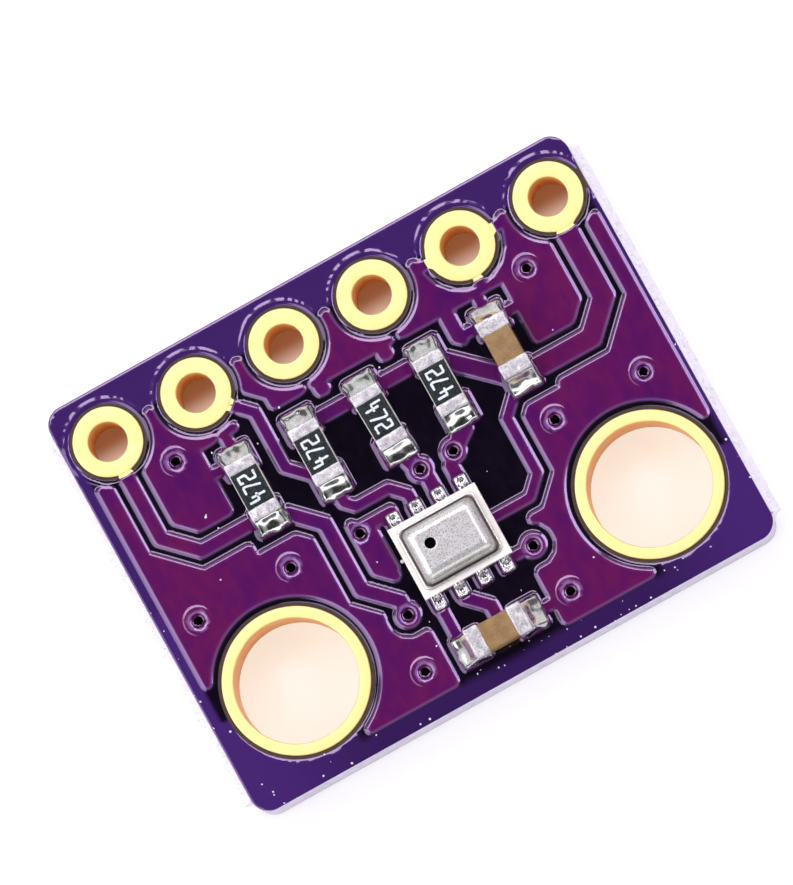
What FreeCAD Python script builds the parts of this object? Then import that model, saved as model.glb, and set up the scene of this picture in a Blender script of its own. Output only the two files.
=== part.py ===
"""Pressure sensor module: a small two-layer circuit board with a six-hole header row, two plated
mounting holes, four chip resistors, two chip capacitors and a vented metal-can pressure sensor.

All sizes are in millimetres. X runs along the header row, Y runs from the mounting holes towards
the header row, and Z points up from the underside of the board to the side that carries the parts.
The layout is drawn on the drill grid, whose origin lies midway between the header row and the
mounting holes, and is moved to the middle of the board's underside when each piece is written.
"""

import FreeCAD, Part
import math
import os

# Drilling
header_count = 6
header_pitch = 2.54
header_hole_radius = 0.50
header_pad_radius = 0.90
mount_spacing = 10.16
mount_hole_radius = 1.59
mount_ring_radius = 1.89
row_spacing = 7.62
via_hole_radius = 0.15
via_pad_radius = 0.33
plating = 0.03

# Board outline, as margins from the outer drill centres to the edges of the upper face
margin_left = 1.18
margin_right = 1.045
margin_header_side = 1.375
margin_mount_side = 2.59
corner_radius = 0.50

# Snapped side edges: a scored bevel above and below, and the torn web between them
score_depth = 0.50
score_bevel = 0.15
torn_web = 0.10
web_taper = 0.12

# Layers
laminate_thickness = 1.48
copper_thickness = 0.06

# Copper rules
clearance = 0.25
flat_tolerance = 0.01
room_tolerance = 0.02
thinnest_pour = 0.18
pour_inset_left = 0.33
pour_inset_right = 0.145
pour_inset_mount_side = 0.50
pour_past_header = 0.25
spoke_width = 0.28
spoke_overlap = 0.12

# Track widths
address_width = 0.37
select_width = 0.29
supply_width = 0.55
strap_width = 0.37
diagonal_width = 0.45
fine_width = 0.27
neck_width = 0.36
stub_width = 0.33
back_width = 0.30

# Chip parts and their lands
chip_length = 1.60
chip_width = 0.80
resistor_height = 0.42
capacitor_height = 0.80
capacitor_belly = 0.03
terminal_length = 0.30
terminal_wall = 0.04
glaze_thickness = 0.03
glaze_margin = 0.05
land_length = 0.85
land_width = 0.93
land_offset = chip_length / 2 + 0.025
solder_film = 0.02

# Chip places
chip_pitch = 1.816
chip_row_x = -3.69
chip_row_drop = 0.70
resistor_count = 4
chip_nudges = [0.0, 0.01, 0.01, -0.04, 0.0]
chip_turns = [0.0, 0.0, 2.0, 0.0, 0.0]
output_capacitor_x = 0.0
output_capacitor_y = -5.25

# Sensor
sensor_x = -0.027
sensor_y = -2.65
sensor_nudge = 0.03
sensor_length = 2.50
sensor_width = 2.00
contact_pitch = 0.65
contact_row_count = 4
contact_width = 0.36
contact_length = 0.30
contact_thickness = 0.03
sensor_land_width = 0.38
sensor_land_length = 0.70
sensor_land_offset = sensor_width / 2 + 0.05
substrate_thickness = 0.26
flange_inset_x = 0.15
flange_inset_y = 0.135
flange_width = 0.09
flange_thickness = 0.07
flange_corner = 0.17
lid_height = 0.62
lid_wall = 0.07
lid_shoulder = 0.19
vent_radius = 0.145
vent_x = -0.43
vent_y = 0.13
die_gap_x = 0.29
die_gap_y = 0.105
asic_thickness = 0.15
pressure_die_share = 0.75
pressure_die_thickness = 0.20
pressure_die_x = 0.10
cavity_share = 0.55
cavity_depth = 0.15

# Solder
solder_inset = 0.02
solder_climb = 0.80
solder_climb_most = 0.40
solder_hollow = 0.80
contact_climb = 0.60

# Room that the upper pour leaves around the sensor
sensor_room_x = 0.26
sensor_room_length = 3.43
sensor_room_width = 2.50

# Via places on the drill grid
data_via_x = 0.22
clock_via_x = 1.17
signal_via_drop = 0.37
address_via_left = (-1.82, -3.73)
address_via_right = (1.78, -3.73)
island_via = (-1.89, -1.34)
ground_vias = [
    (-5.09, 2.53),
    (5.01, 2.48),
    (-6.52, -1.28),
    (-3.83, -1.24),
    (3.79, -1.22),
    (6.32, -1.25),
    (-2.13, -5.20),
    (2.05, -5.20),
    island_via,
]

# Lanes that the longer tracks run along
address_lane_x = -2.545
select_lane_x = -2.74
supply_lane_x = 2.745
sensor_lane_y = -2.62

# Track bends, measured from the lands, pads and vias that the tracks meet
lane_corner = 0.765
address_entry = 0.10
address_exit = 0.15
address_bend = 0.68
address_via_rise = 0.41
select_pad_drop = 0.09
select_entry = 0.05
select_via_gap = 0.02
select_bend = 0.23
select_contact_bend = 0.37
signal_bend = 0.30
clock_land_step = 0.08
clock_land_drop = 0.42
data_back_rise = 0.20
clock_back_rise = 0.30
supply_entry = 0.03
supply_bend = 0.45
strap_drop = 0.05
diagonal_step = 0.15
diagonal_reach = 0.25
supply_lane_step = 0.30
supply_lane_drop = 0.20
island_bend = 0.55
island_turn = 0.33
stub_drop = 0.35
stub_bend = 0.48
stub_end = 0.25
stub_land_step = 0.10
stub_land_drop = 0.09

# Derived places
header_y = row_spacing / 2
mount_y = -row_spacing / 2
header_xs = [(i - (header_count - 1) / 2) * header_pitch for i in range(header_count)]
mount_xs = [-mount_spacing / 2, mount_spacing / 2]
edge_left = header_xs[0] - margin_left
edge_right = header_xs[-1] + margin_right
edge_front = mount_y - margin_mount_side
edge_back = header_y + margin_header_side
overhang = score_bevel + torn_web
board_centre_x = (edge_left + edge_right) / 2
board_centre_y = (edge_front + edge_back) / 2
laminate_bottom = copper_thickness
laminate_top = laminate_bottom + laminate_thickness
board_top = laminate_top + copper_thickness
chip_base = board_top + solder_film
chip_xs = [chip_row_x + i * chip_pitch for i in range(resistor_count + 1)]
chip_row_y = header_y - header_pad_radius - chip_row_drop - land_length / 2 - land_offset
land_tops = [(x, chip_row_y + land_offset) for x in chip_xs]
land_bottoms = [(x, chip_row_y - land_offset) for x in chip_xs]
signal_via_y = chip_row_y - land_offset - land_length / 2 - signal_via_drop
data_via = (data_via_x, signal_via_y)
clock_via = (clock_via_x, signal_via_y)
output_left = (output_capacitor_x - land_offset, output_capacitor_y)
output_right = (output_capacitor_x + land_offset, output_capacitor_y)
contact_steps = [i - (contact_row_count - 1) / 2 for i in range(contact_row_count)]
contact_xs = [sensor_x + step * contact_pitch for step in contact_steps]
sensor_tops = [(x, sensor_y + sensor_land_offset) for x in contact_xs]
sensor_bottoms = [(x, sensor_y - sensor_land_offset) for x in contact_xs]


def point(x, y, z=0.0):
    """A point of the drill grid."""
    return FreeCAD.Vector(x, y, z)


def disc(x, y, radius, tolerance=flat_tolerance):
    """A round face of etched copper, drawn with flats that stay within the tolerance of its circle.

    Only the holes that pins and screws go through, and the vent, are drawn as true circles.
    """
    count = 2 * math.ceil(math.pi / math.acos(1 - tolerance / radius) / 2)
    turns = [2 * math.pi * (i + 0.5) / count for i in range(count)]
    return polygon([(x + radius * math.cos(turn), y + radius * math.sin(turn)) for turn in turns])


def patch(x, y, length, width):
    """A flat rectangular face about its centre."""
    return Part.makePlane(length, width, point(x - length / 2, y - width / 2))


def polygon(points):
    """A flat face inside straight edges."""
    corners = [point(x, y) for x, y in points]
    return Part.Face(Part.makePolygon(corners + corners[:1]))


def joined(shapes):
    """One shape that covers all the shapes, with no seams inside it."""
    if len(shapes) == 1:
        return shapes[0]
    return shapes[0].multiFuse(shapes[1:]).removeSplitter()


def raised(faces, low, high):
    """Flat faces as solids between two heights."""
    solids = [face.extrude(point(0, 0, high - low)) for face in faces]
    for solid in solids:
        solid.translate(point(0, 0, low))
    return solids


def post(x, y, radius, low, high):
    """An upright post with a truly round wall."""
    return Part.makeCylinder(radius, high - low, point(x, y, low))


def slug(x, y, radius, low, high):
    """An upright post of plated copper, with the flats of its round face."""
    return raised([disc(x, y, radius)], low, high)[0]


def block(x, y, length, width, low, high):
    """An upright block about its centre."""
    return Part.makeBox(length, width, high - low, point(x - length / 2, y - width / 2, low))


def upright_edges(solid):
    """The edges of a block that run along Z."""
    return [edge for edge in solid.Edges if abs(edge.tangentAt(edge.FirstParameter).z) > 0.9]


def track(points, width, grow=0.0):
    """A track of constant width along the points, with mitred bends and square ends.

    grow widens the track on every side, which gives the room that other copper leaves around it.
    """
    half = width / 2 + grow
    first, last = list(points[0]), list(points[-1])
    if grow:
        first = stepped(points[1], points[0], grow)
        last = stepped(points[-2], points[-1], grow)
    path = [first] + list(points[1:-1]) + [last]
    return polygon(offset_side(path, half)[::-1] + offset_side(path[::-1], half)[::-1])


def stepped(start, end, extra):
    """The end of a run, moved on by extra."""
    run = math.dist(start, end)
    return tuple(e + (e - s) * extra / run for s, e in zip(start, end))


def offset_side(path, half):
    """The points of one long side of a track, to the left of its path."""
    headings = [math.atan2(b[1] - a[1], b[0] - a[0]) for a, b in zip(path, path[1:])]
    side = []
    for i, (x, y) in enumerate(path):
        before = headings[max(i - 1, 0)]
        after = headings[min(i, len(headings) - 1)]
        middle = (before + after) / 2
        if abs(after - before) > math.pi:
            middle += math.pi
        reach = half / math.cos(middle - before)
        side.append((x - reach * math.sin(middle), y + reach * math.cos(middle)))
    return side


class Net:
    """The copper of one circuit: what lies on the upper face, what lies on the underside, and vias."""

    def __init__(self, name):
        self.name = name
        self.upper = []
        self.under = []
        self.vias = []

    def run(self, points, width, under=False):
        """Add a track."""
        (self.under if under else self.upper).append(("track", points, width))

    def land(self, place, length, width):
        """Add a land that a part is soldered to, on the upper face."""
        self.upper.append(("land", place, length, width))

    def via(self, place, pad=True):
        """Add a plated via, with its round pads where it stands outside a pour."""
        self.vias.append(place)
        if pad:
            self.upper.append(("pad", place, via_pad_radius))
            self.under.append(("pad", place, via_pad_radius))

    def faces(self, items, grow=0.0):
        """Flat faces of the listed items, each grown on every side."""
        shapes = []
        for item in items:
            if item[0] == "track":
                shapes.append(track(item[1], item[2], grow))
            elif item[0] == "pad":
                shapes.append(disc(*item[1], item[2] + grow, room_tolerance if grow else flat_tolerance))
            else:
                shapes.append(patch(*item[1], item[2] + 2 * grow, item[3] + 2 * grow))
        return shapes


def chip_lands(net, place):
    """A land of a chip that stands along Y."""
    net.land(place, land_width, land_length)


def output_lands(net, place):
    """A land of the chip that lies along X."""
    net.land(place, land_length, land_width)


def sensor_land(net, place):
    """A land of the sensor."""
    net.land(place, sensor_land_width, sensor_land_length)


def address_net():
    """First header hole to its pull-down resistor, and on to the sensor across the underside."""
    net = Net("copper_address")
    pad, land = (header_xs[0], header_y), land_bottoms[0]
    run_y = land[1] + address_entry
    corner = [(pad[0], run_y + lane_corner), (pad[0] + lane_corner, run_y)]
    net.run([pad] + corner + [(land[0], run_y)], address_width)
    lane, exit_y = address_lane_x, land[1] - address_exit
    via_turn_y = address_via_left[1] + address_via_rise
    net.run(
        [
            (land[0], exit_y),
            (lane - address_bend, exit_y),
            (lane, exit_y - address_bend),
            (lane, via_turn_y + address_via_left[0] - lane),
            (address_via_left[0], via_turn_y),
            address_via_left,
        ],
        address_width,
    )
    chip_lands(net, land)
    net.via(address_via_left)
    net.via(address_via_right)
    net.run([address_via_left, address_via_right], back_width, under=True)
    net.run([address_via_right, (sensor_bottoms[3][0], address_via_right[1])], fine_width)
    sensor_land(net, sensor_bottoms[3])
    return net


def select_net():
    """Second header hole to its pull-up resistor and the sensor."""
    net = Net("copper_select")
    pad, land, contact = (header_xs[1], header_y), land_bottoms[1], sensor_tops[1]
    lane, pad_exit_y, entry_y = select_lane_x, pad[1] - select_pad_drop, land[1] + select_entry
    net.run(
        [
            pad,
            (pad[0], pad_exit_y),
            (lane, pad_exit_y - (lane - pad[0])),
            (lane, entry_y + land[0] - lane),
            (land[0], entry_y),
        ],
        select_width,
    )
    lane_y = data_via[1] - select_via_gap
    net.run(
        [
            land,
            (land[0], lane_y + select_bend),
            (land[0] + select_bend, lane_y),
            (contact[0] - select_contact_bend, lane_y),
            (contact[0], lane_y - select_contact_bend),
            contact,
        ],
        select_width,
    )
    chip_lands(net, land)
    sensor_land(net, contact)
    return net


def data_net():
    """Third header hole, along the underside to its pull-up resistor and the sensor."""
    net = Net("copper_data")
    pad, land = (header_xs[2], header_y), land_bottoms[2]
    net.run([land, data_via], land_width / 2)
    net.run([data_via, (sensor_tops[2][0], data_via[1] - signal_bend), sensor_tops[2]], neck_width)
    chip_lands(net, land)
    sensor_land(net, sensor_tops[2])
    net.via(data_via)
    turn_y = data_via[1] + data_back_rise
    back = [pad, (pad[0], turn_y + data_via[0] - pad[0]), (data_via[0], turn_y), data_via]
    net.run(back, back_width, under=True)
    return net


def clock_net():
    """Fourth header hole, along the underside to its pull-up resistor and the sensor."""
    net = Net("copper_clock")
    pad, land = (header_xs[3], header_y), land_bottoms[3]
    net.run([land, (land[0] - clock_land_step, land[1] - clock_land_drop), clock_via], diagonal_width)
    net.run([clock_via, (sensor_tops[3][0], clock_via[1] - signal_bend), sensor_tops[3]], neck_width)
    chip_lands(net, land)
    sensor_land(net, sensor_tops[3])
    net.via(clock_via)
    turn_y = clock_via[1] + clock_back_rise
    back = [pad, (pad[0], turn_y + pad[0] - clock_via[0]), (clock_via[0], turn_y), clock_via]
    net.run(back, back_width, under=True)
    return net


def supply_net():
    """Sixth header hole to both capacitors, the pull-up resistors and the sensor."""
    net = Net("copper_supply")
    pad, land = (header_xs[5], header_y), land_bottoms[4]
    run_y = land[1] + supply_entry
    corner = [(pad[0], run_y + lane_corner), (pad[0] - lane_corner, run_y)]
    net.run([pad] + corner + [(land[0], run_y)], supply_width)
    chip_lands(net, land)
    strap_y = land_tops[1][1] - strap_drop
    net.run([(land_tops[1][0], strap_y), (land_tops[3][0], strap_y)], strap_width)
    for top in land_tops[1:4]:
        chip_lands(net, top)
    strap_end = (land_tops[3][0] + diagonal_step, land_tops[3][1] - diagonal_step)
    net.run([strap_end, (land[0] - diagonal_reach, land[1] + diagonal_step)], diagonal_width)
    lane, low = supply_lane_x, sensor_lane_y
    lane_start = (land[0] - supply_lane_step, land[1] - supply_lane_drop)
    net.run(
        [
            lane_start,
            (lane, lane_start[1] - (lane_start[0] - lane)),
            (lane, low + supply_bend),
            (lane - supply_bend, low),
            (sensor_bottoms[0][0], low),
            sensor_bottoms[0],
            (sensor_bottoms[0][0], output_left[1]),
        ],
        fine_width,
    )
    net.run([(sensor_bottoms[2][0], low), sensor_bottoms[2]], fine_width)
    sensor_land(net, sensor_bottoms[0])
    sensor_land(net, sensor_bottoms[2])
    output_lands(net, output_left)
    return net


def spoke(place, direction, reach):
    """A narrow bridge from a land or pad to the pour around it."""
    end = (place[0] + direction[0] * reach, place[1] + direction[1] * reach)
    return track([place, end], spoke_width)


def pour_region(back):
    """The rectangle that a ground pour may fill, as far as its back edge."""
    left, right = edge_left + pour_inset_left, edge_right - pour_inset_right
    front = edge_front + pour_inset_mount_side
    return polygon([(left, front), (right, front), (right, back), (left, back)])


def kept_back(region, rooms, vias):
    """A pour region less the rooms around other copper, with no sliver under the thinnest pour.

    Only the islands that a ground via or the ground hole of the header reaches are kept.
    """
    islands = []
    for face in region.cut(rooms).Faces:
        if not reached(face, vias):
            continue
        wide = face.makeOffset2D(-thinnest_pour / 2).makeOffset2D(thinnest_pour / 2)
        islands += [flat_sided(part) for part in wide.Faces if reached(part, vias)]
    return islands


def flat_sided(face):
    """A face with each rounded corner cut by one flat."""
    outlines = []
    for wire in face.Wires:
        corners = [vertex.Point for vertex in wire.OrderedVertexes]
        outlines.append(Part.makePolygon(corners + corners[:1]))
    return Part.Face(outlines)


def reached(face, vias):
    """Whether one of the vias stands in the face."""
    return any(face.isInside(point(*via), 1e-4, True) for via in vias)


def pad_rooms():
    """The room that the pour leaves around the header pads and the mounting rings."""
    rooms = [disc(x, header_y, header_pad_radius + clearance, room_tolerance) for x in header_xs]
    return rooms + [disc(x, mount_y, mount_ring_radius + clearance, room_tolerance) for x in mount_xs]


def ground_net(others):
    """The ground copper: poured islands on both faces, their vias, lands, spokes and short tracks."""
    net = Net("copper_ground")
    hole = (header_xs[4], header_y)
    spoke_ends = [(hole[0], hole[1] - header_pad_radius - clearance - spoke_overlap)]
    lands = [land_tops[0], land_tops[4]]
    upper_rooms, under_rooms = pad_rooms(), pad_rooms()
    for other in others:
        upper_rooms += other.faces(other.upper, clearance)
        under_rooms += other.faces(other.under, clearance)
    for land in lands:
        upper_rooms.append(patch(*land, land_width + 2 * clearance, land_length + 2 * clearance))
    for i in (0, resistor_count):
        upper_rooms.append(patch(chip_xs[i], chip_row_y, land_width + 2 * clearance, 2 * land_offset))
    upper_rooms.append(patch(sensor_room_x, sensor_y, sensor_room_length, sensor_room_width))
    output_front = output_capacitor_y - land_width / 2 - clearance
    output_room_length = 2 * land_offset + land_length + 2 * clearance
    output_middle = (sensor_y + output_front) / 2
    upper_rooms.append(patch(output_capacitor_x, output_middle, output_room_length, sensor_y - output_front))
    upper_back = header_y + pour_past_header
    under_back = max(y for x, y in ground_vias) + via_pad_radius
    upper = kept_back(pour_region(upper_back), upper_rooms, ground_vias + spoke_ends)
    under = kept_back(pour_region(under_back), under_rooms, ground_vias)

    reach = land_width / 2 + clearance + spoke_overlap
    rise = land_length / 2 + clearance + spoke_overlap
    pad_reach = header_pad_radius + clearance + spoke_overlap
    upper.append(spoke(land_tops[0], (-1, 0), reach))
    upper.append(spoke(land_tops[0], (0, 1), rise))
    upper.append(spoke(land_tops[4], (-1, 0), reach))
    upper.append(spoke(land_tops[4], (1, 0), reach))
    upper.append(spoke(land_tops[4], (0, 1), rise))
    upper.append(spoke(output_right, (1, 0), rise))
    for direction in [(-1, 0), (1, 0), (0, -1)]:
        upper.append(spoke(hole, direction, pad_reach))
    under.append(spoke(hole, (0, -1), pad_reach))
    for land in lands:
        chip_lands(net, land)
    output_lands(net, output_right)
    sensor_land(net, sensor_tops[0])
    sensor_land(net, sensor_bottoms[1])
    turn_y = sensor_tops[0][1] + island_turn
    net.run([island_via, (sensor_tops[0][0] - island_bend, turn_y), (sensor_tops[0][0], turn_y)], fine_width)
    stub = sensor_bottoms[1]
    net.run(
        [
            stub,
            (stub[0], stub[1] - stub_drop),
            (stub[0] + stub_bend, stub[1] - stub_drop - stub_bend),
            (stub[0] + stub_bend, output_right[1] + stub_end),
            (output_right[0] - stub_land_step, output_right[1] - stub_land_drop),
        ],
        stub_width,
    )
    net.vias = list(ground_vias)
    upper += net.faces(net.upper)
    return net, upper, under


def copper(net, upper, under):
    """One circuit's copper as a solid: both faces' foil and the plated barrels between them."""
    pads = [slug(x, header_y, header_pad_radius, 0, board_top) for x in header_xs]
    solids = raised(upper, laminate_top, board_top) + raised(under, 0, laminate_bottom)
    barrel_radius = via_hole_radius + plating
    solids += [slug(x, y, barrel_radius, 0, board_top) for x, y in net.vias]
    body = joined(solids)
    holes = [slug(x, y, via_hole_radius, 0, board_top) for x, y in net.vias]
    return body.cut(joined(pads + holes)).removeSplitter()


def laminate(vias):
    """The glass-fibre board: routed ends and corners, scored and snapped sides, and drilled holes."""
    length, width = edge_right - edge_left, edge_back - edge_front
    body = block(board_centre_x, board_centre_y, length, width, laminate_bottom, laminate_top)
    body = body.makeFillet(corner_radius, upright_edges(body))
    sides = [snapped_side(edge_left, -1), snapped_side(edge_right, 1)]
    body = body.multiFuse(sides).removeSplitter()
    drills = [slug(x, header_y, header_hole_radius + plating, 0, board_top) for x in header_xs]
    drills += [post(x, mount_y, mount_hole_radius + plating, 0, board_top) for x in mount_xs]
    drills += [slug(x, y, via_hole_radius + plating, 0, board_top) for x, y in vias]
    return body.cut(drills)


def snapped_side(edge, out):
    """The strip beyond a scored edge: bevel, torn web, bevel, between the two routed corners."""
    high, low = laminate_top - score_depth, laminate_bottom + score_depth
    outline = [
        (-score_bevel, laminate_top),
        (0, laminate_top),
        (score_bevel, high),
        (overhang, high - web_taper),
        (overhang, low + web_taper),
        (score_bevel, low),
        (0, laminate_bottom),
        (-score_bevel, laminate_bottom),
    ]
    start, end = edge_front + corner_radius, edge_back - corner_radius
    corners = [point(edge + out * x, start, z) for x, z in outline]
    return Part.Face(Part.makePolygon(corners + corners[:1])).extrude(point(0, end - start, 0))


def plated_hole(x, y, hole_radius, rim_radius, outer_wall):
    """A plated hole with its two round rims, like an eyelet. outer_wall draws its wall in the board."""
    barrel = outer_wall(x, y, hole_radius + plating, 0, board_top)
    rims = [slug(x, y, rim_radius, 0, laminate_bottom), slug(x, y, rim_radius, laminate_top, board_top)]
    return barrel.multiFuse(rims).removeSplitter().cut(post(x, y, hole_radius, 0, board_top))


def seated(solids, x, y, turn):
    """Solids made about the origin along Y, turned and moved to their place on the board."""
    for solid in solids:
        solid.rotate(point(0, 0), point(0, 0, 1), turn)
        solid.translate(point(x, y))
    return solids


def terminal(out, height):
    """One soldered end of a chip: a cap that wraps the body's end, top and underside."""
    outer = block(0, out * (chip_length - terminal_length) / 2, chip_width, terminal_length, 0, height)
    tip = [
        edge
        for edge in outer.Edges
        if abs(edge.tangentAt(edge.FirstParameter).x) > 0.9
        and edge.CenterOfMass.y * out > chip_length / 2 - 0.01
        and edge.CenterOfMass.z > height / 2
    ]
    outer = outer.makeChamfer(terminal_wall, tip)
    core_length = chip_length - 2 * terminal_wall
    solid = outer.cut(block(0, 0, 2 * chip_width, core_length, terminal_wall, height - terminal_wall))
    solid.translate(point(0, 0, chip_base))
    return solid


def chip_body(height):
    """The ceramic brick of a chip, between the walls of its two terminals."""
    low, high = chip_base + terminal_wall, chip_base + height - terminal_wall
    return block(0, 0, chip_width, chip_length - 2 * terminal_wall, low, high)


def resistor_glaze():
    """The dark glass coat on a resistor, between its terminals."""
    low = chip_base + resistor_height - terminal_wall
    length = chip_length - 2 * terminal_length
    return block(0, 0, chip_width - 2 * glaze_margin, length, low, low + glaze_thickness)


def capacitor_body():
    """A capacitor's ceramic block, whose middle stands out level with its terminals."""
    brick = chip_body(capacitor_height)
    low, high = chip_base + capacitor_belly, chip_base + capacitor_height - capacitor_belly
    belly = block(0, 0, chip_width, chip_length - 2 * terminal_length, low, high)
    return brick.fuse(belly).removeSplitter()


def fillet_profile(start, reach, height):
    """The concave outline of a solder joint: up the wall, then a hollow slope down to the land.

    The slope is an arc that stays within the corner, so that it never dips below the land.
    """
    base, foot, top = (0, start, board_top), (0, start + reach, board_top), (0, start, board_top + height)
    steepness = math.atan2(min(reach, height), max(reach, height))
    sink = math.hypot(reach, height) / 2 * math.tan(steepness / 2) * solder_hollow
    along, down = sink * height / math.hypot(reach, height), sink * reach / math.hypot(reach, height)
    middle = point(0, start + reach / 2 - along, board_top + height / 2 - down)
    slope = Part.Arc(point(*top), middle, point(*foot)).toShape()
    walls = Part.makePolygon([point(*foot), point(*base), point(*top)]).Edges
    return Part.Face(Part.Wire(walls + [slope]))


def chip_solder(out, height):
    """The solder under one end of a chip and up its end face."""
    outer_end = land_offset + land_length / 2 - solder_inset
    reach = outer_end - chip_length / 2
    slope = fillet_profile(chip_length / 2, reach, min(height * solder_climb, solder_climb_most))
    slope = slope.extrude(point(chip_width, 0, 0))
    slope.translate(point(-chip_width / 2, 0))
    inner_end = chip_length / 2 - terminal_length
    film_y = (inner_end + chip_length / 2) / 2
    film = block(0, film_y, chip_width, terminal_length, board_top, chip_base)
    solid = slope.fuse(film).removeSplitter()
    if out < 0:
        solid.rotate(point(0, 0), point(0, 0, 1), 180)
    return solid


def sensor_solder(x, out):
    """The solder between one sensor contact and its land, with its slope outside the package."""
    edge = sensor_width / 2
    outer_end = sensor_land_offset + sensor_land_length / 2 - solder_inset
    rise = contact_thickness + solder_film + substrate_thickness * contact_climb
    slope = fillet_profile(edge, outer_end - edge, rise)
    slope = slope.extrude(point(contact_width, 0, 0))
    slope.translate(point(-contact_width / 2, 0))
    film_y = edge - contact_length / 2
    film = block(0, film_y, contact_width, contact_length, board_top, board_top + solder_film)
    solid = slope.fuse(film).removeSplitter()
    if out < 0:
        solid.rotate(point(0, 0), point(0, 0, 1), 180)
    solid.translate(point(x, 0))
    return solid


def sensor_parts():
    """The sensor's own pieces, about its centre: contacts, substrate, dies and lid."""
    contact_low = board_top + solder_film
    base = contact_low + contact_thickness
    deck = base + substrate_thickness
    contacts = []
    for x in contact_xs:
        for out in (-1, 1):
            y = out * (sensor_width - contact_length) / 2
            contacts.append(block(x - sensor_x, y, contact_width, contact_length, contact_low, base))
    substrate = block(0, 0, sensor_length, sensor_width, base, deck)
    room_length = sensor_length - 2 * (flange_inset_x + flange_width + lid_wall)
    room_width = sensor_width - 2 * (flange_inset_y + flange_width + lid_wall)
    asic_length, asic_width = room_length - 2 * die_gap_x, room_width - 2 * die_gap_y
    asic = block(0, 0, asic_length, asic_width, deck, deck + asic_thickness)
    die_low, die_side = deck + asic_thickness, asic_width * pressure_die_share
    die = block(pressure_die_x, 0, die_side, die_side, die_low, die_low + pressure_die_thickness)
    hollow_side = die_side * cavity_share
    hollow = block(pressure_die_x, 0, hollow_side, hollow_side, die_low, die_low + cavity_depth)
    return contacts, substrate, asic, die.cut(hollow), sensor_lid(deck, room_length, room_width)


def sensor_lid(deck, room_length, room_width):
    """The drawn metal can: a flat flange, steep walls, a rounded shoulder and a vent in its top."""
    length = sensor_length - 2 * flange_inset_x
    width = sensor_width - 2 * flange_inset_y
    flange = block(0, 0, length, width, deck, deck + flange_thickness)
    flange = flange.makeFillet(flange_corner, upright_edges(flange))
    cap_length, cap_width = length - 2 * flange_width, width - 2 * flange_width
    cap = block(0, 0, cap_length, cap_width, deck, deck + lid_height)
    cap = cap.makeFillet(lid_shoulder, [edge for edge in cap.Edges if edge.CenterOfMass.z > deck + 0.001])
    room = block(0, 0, room_length, room_width, deck, deck + lid_height - lid_wall)
    room = room.makeChamfer((lid_shoulder - lid_wall) / 2, upright_edges(room))
    vent = post(vent_x, vent_y, vent_radius, deck, deck + lid_height)
    return flange.fuse(cap).removeSplitter().cut([room, vent])


def write(name, solids):
    """Move a piece from the drill grid to the board's own frame and write it."""
    group = Part.makeCompound([solid.copy() for shape in solids for solid in shape.Solids])
    group.translate(point(-board_centre_x, -board_centre_y))
    note = "" if all(solid.isValid() for solid in group.Solids) else ", not valid"
    print(f"{name}: {len(group.Solids)} solids, {group.Volume:.4f} mm3{note}")
    (group.Solids[0] if len(group.Solids) == 1 else group).exportStep(f"parts/{name}.step")


def write_chips():
    """Write the resistors and capacitors with their terminals and solder."""
    for i in range(resistor_count):
        x, turn = chip_xs[i] + chip_nudges[i], chip_turns[i]
        name = f"resistor_{i + 1}"
        write(f"{name}_body", seated([chip_body(resistor_height)], x, chip_row_y, turn))
        write(f"{name}_glaze", seated([resistor_glaze()], x, chip_row_y, turn))
        ends = [terminal(out, resistor_height) for out in (-1, 1)]
        write(f"{name}_terminals", seated(ends, x, chip_row_y, turn))
        joints = [chip_solder(out, resistor_height) for out in (-1, 1)]
        write(f"{name}_solder", seated(joints, x, chip_row_y, turn))
    input_place = (chip_xs[resistor_count] + chip_nudges[resistor_count], chip_row_y, 0)
    output_place = (output_capacitor_x, output_capacitor_y, 90)
    for name, place in (("capacitor_1", input_place), ("capacitor_2", output_place)):
        write(f"{name}_body", seated([capacitor_body()], *place))
        ends = [terminal(out, capacitor_height) for out in (-1, 1)]
        write(f"{name}_terminals", seated(ends, *place))
        joints = [chip_solder(out, capacitor_height) for out in (-1, 1)]
        write(f"{name}_solder", seated(joints, *place))


def write_sensor():
    """Write the pressure sensor and its solder."""
    contacts, substrate, asic, die, lid = sensor_parts()
    place = (sensor_x + sensor_nudge, sensor_y, 0)
    write("sensor_contacts", seated(contacts, *place))
    write("sensor_substrate", seated([substrate], *place))
    write("sensor_circuit_die", seated([asic], *place))
    write("sensor_pressure_die", seated([die], *place))
    write("sensor_lid", seated([lid], *place))
    joints = [sensor_solder(x - sensor_x, out) for x in contact_xs for out in (-1, 1)]
    write("sensor_solder", seated(joints, *place))


def main():
    """Build every piece and write one file for each."""
    os.makedirs("parts", exist_ok=True)
    nets = [address_net(), select_net(), data_net(), clock_net(), supply_net()]
    ground, upper, under = ground_net(nets)
    vias = ground.vias + [via for net in nets for via in net.vias]
    write("laminate", [laminate(vias)])
    for net in nets:
        write(net.name, [copper(net, net.faces(net.upper), net.faces(net.under))])
    write(ground.name, [copper(ground, upper, under)])
    for i, x in enumerate(header_xs):
        write(f"header_pad_{i + 1}", [plated_hole(x, header_y, header_hole_radius, header_pad_radius, slug)])
    for name, x in zip(("left", "right"), mount_xs):
        write(f"mounting_ring_{name}", [plated_hole(x, mount_y, mount_hole_radius, mount_ring_radius, post)])
    write_chips()
    write_sensor()


main()
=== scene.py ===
"""Looks of the pressure sensor module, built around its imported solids.

Sizes are in millimetres in the part's own frame: X along the header row, Y towards the header row,
Z up from the underside. Meshes are written in metres.
"""

import logging
import math
from dataclasses import dataclass, field
from enum import Enum
from typing import Callable, Iterable

import bpy
import numpy as np
from mathutils import Matrix, Vector


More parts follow.
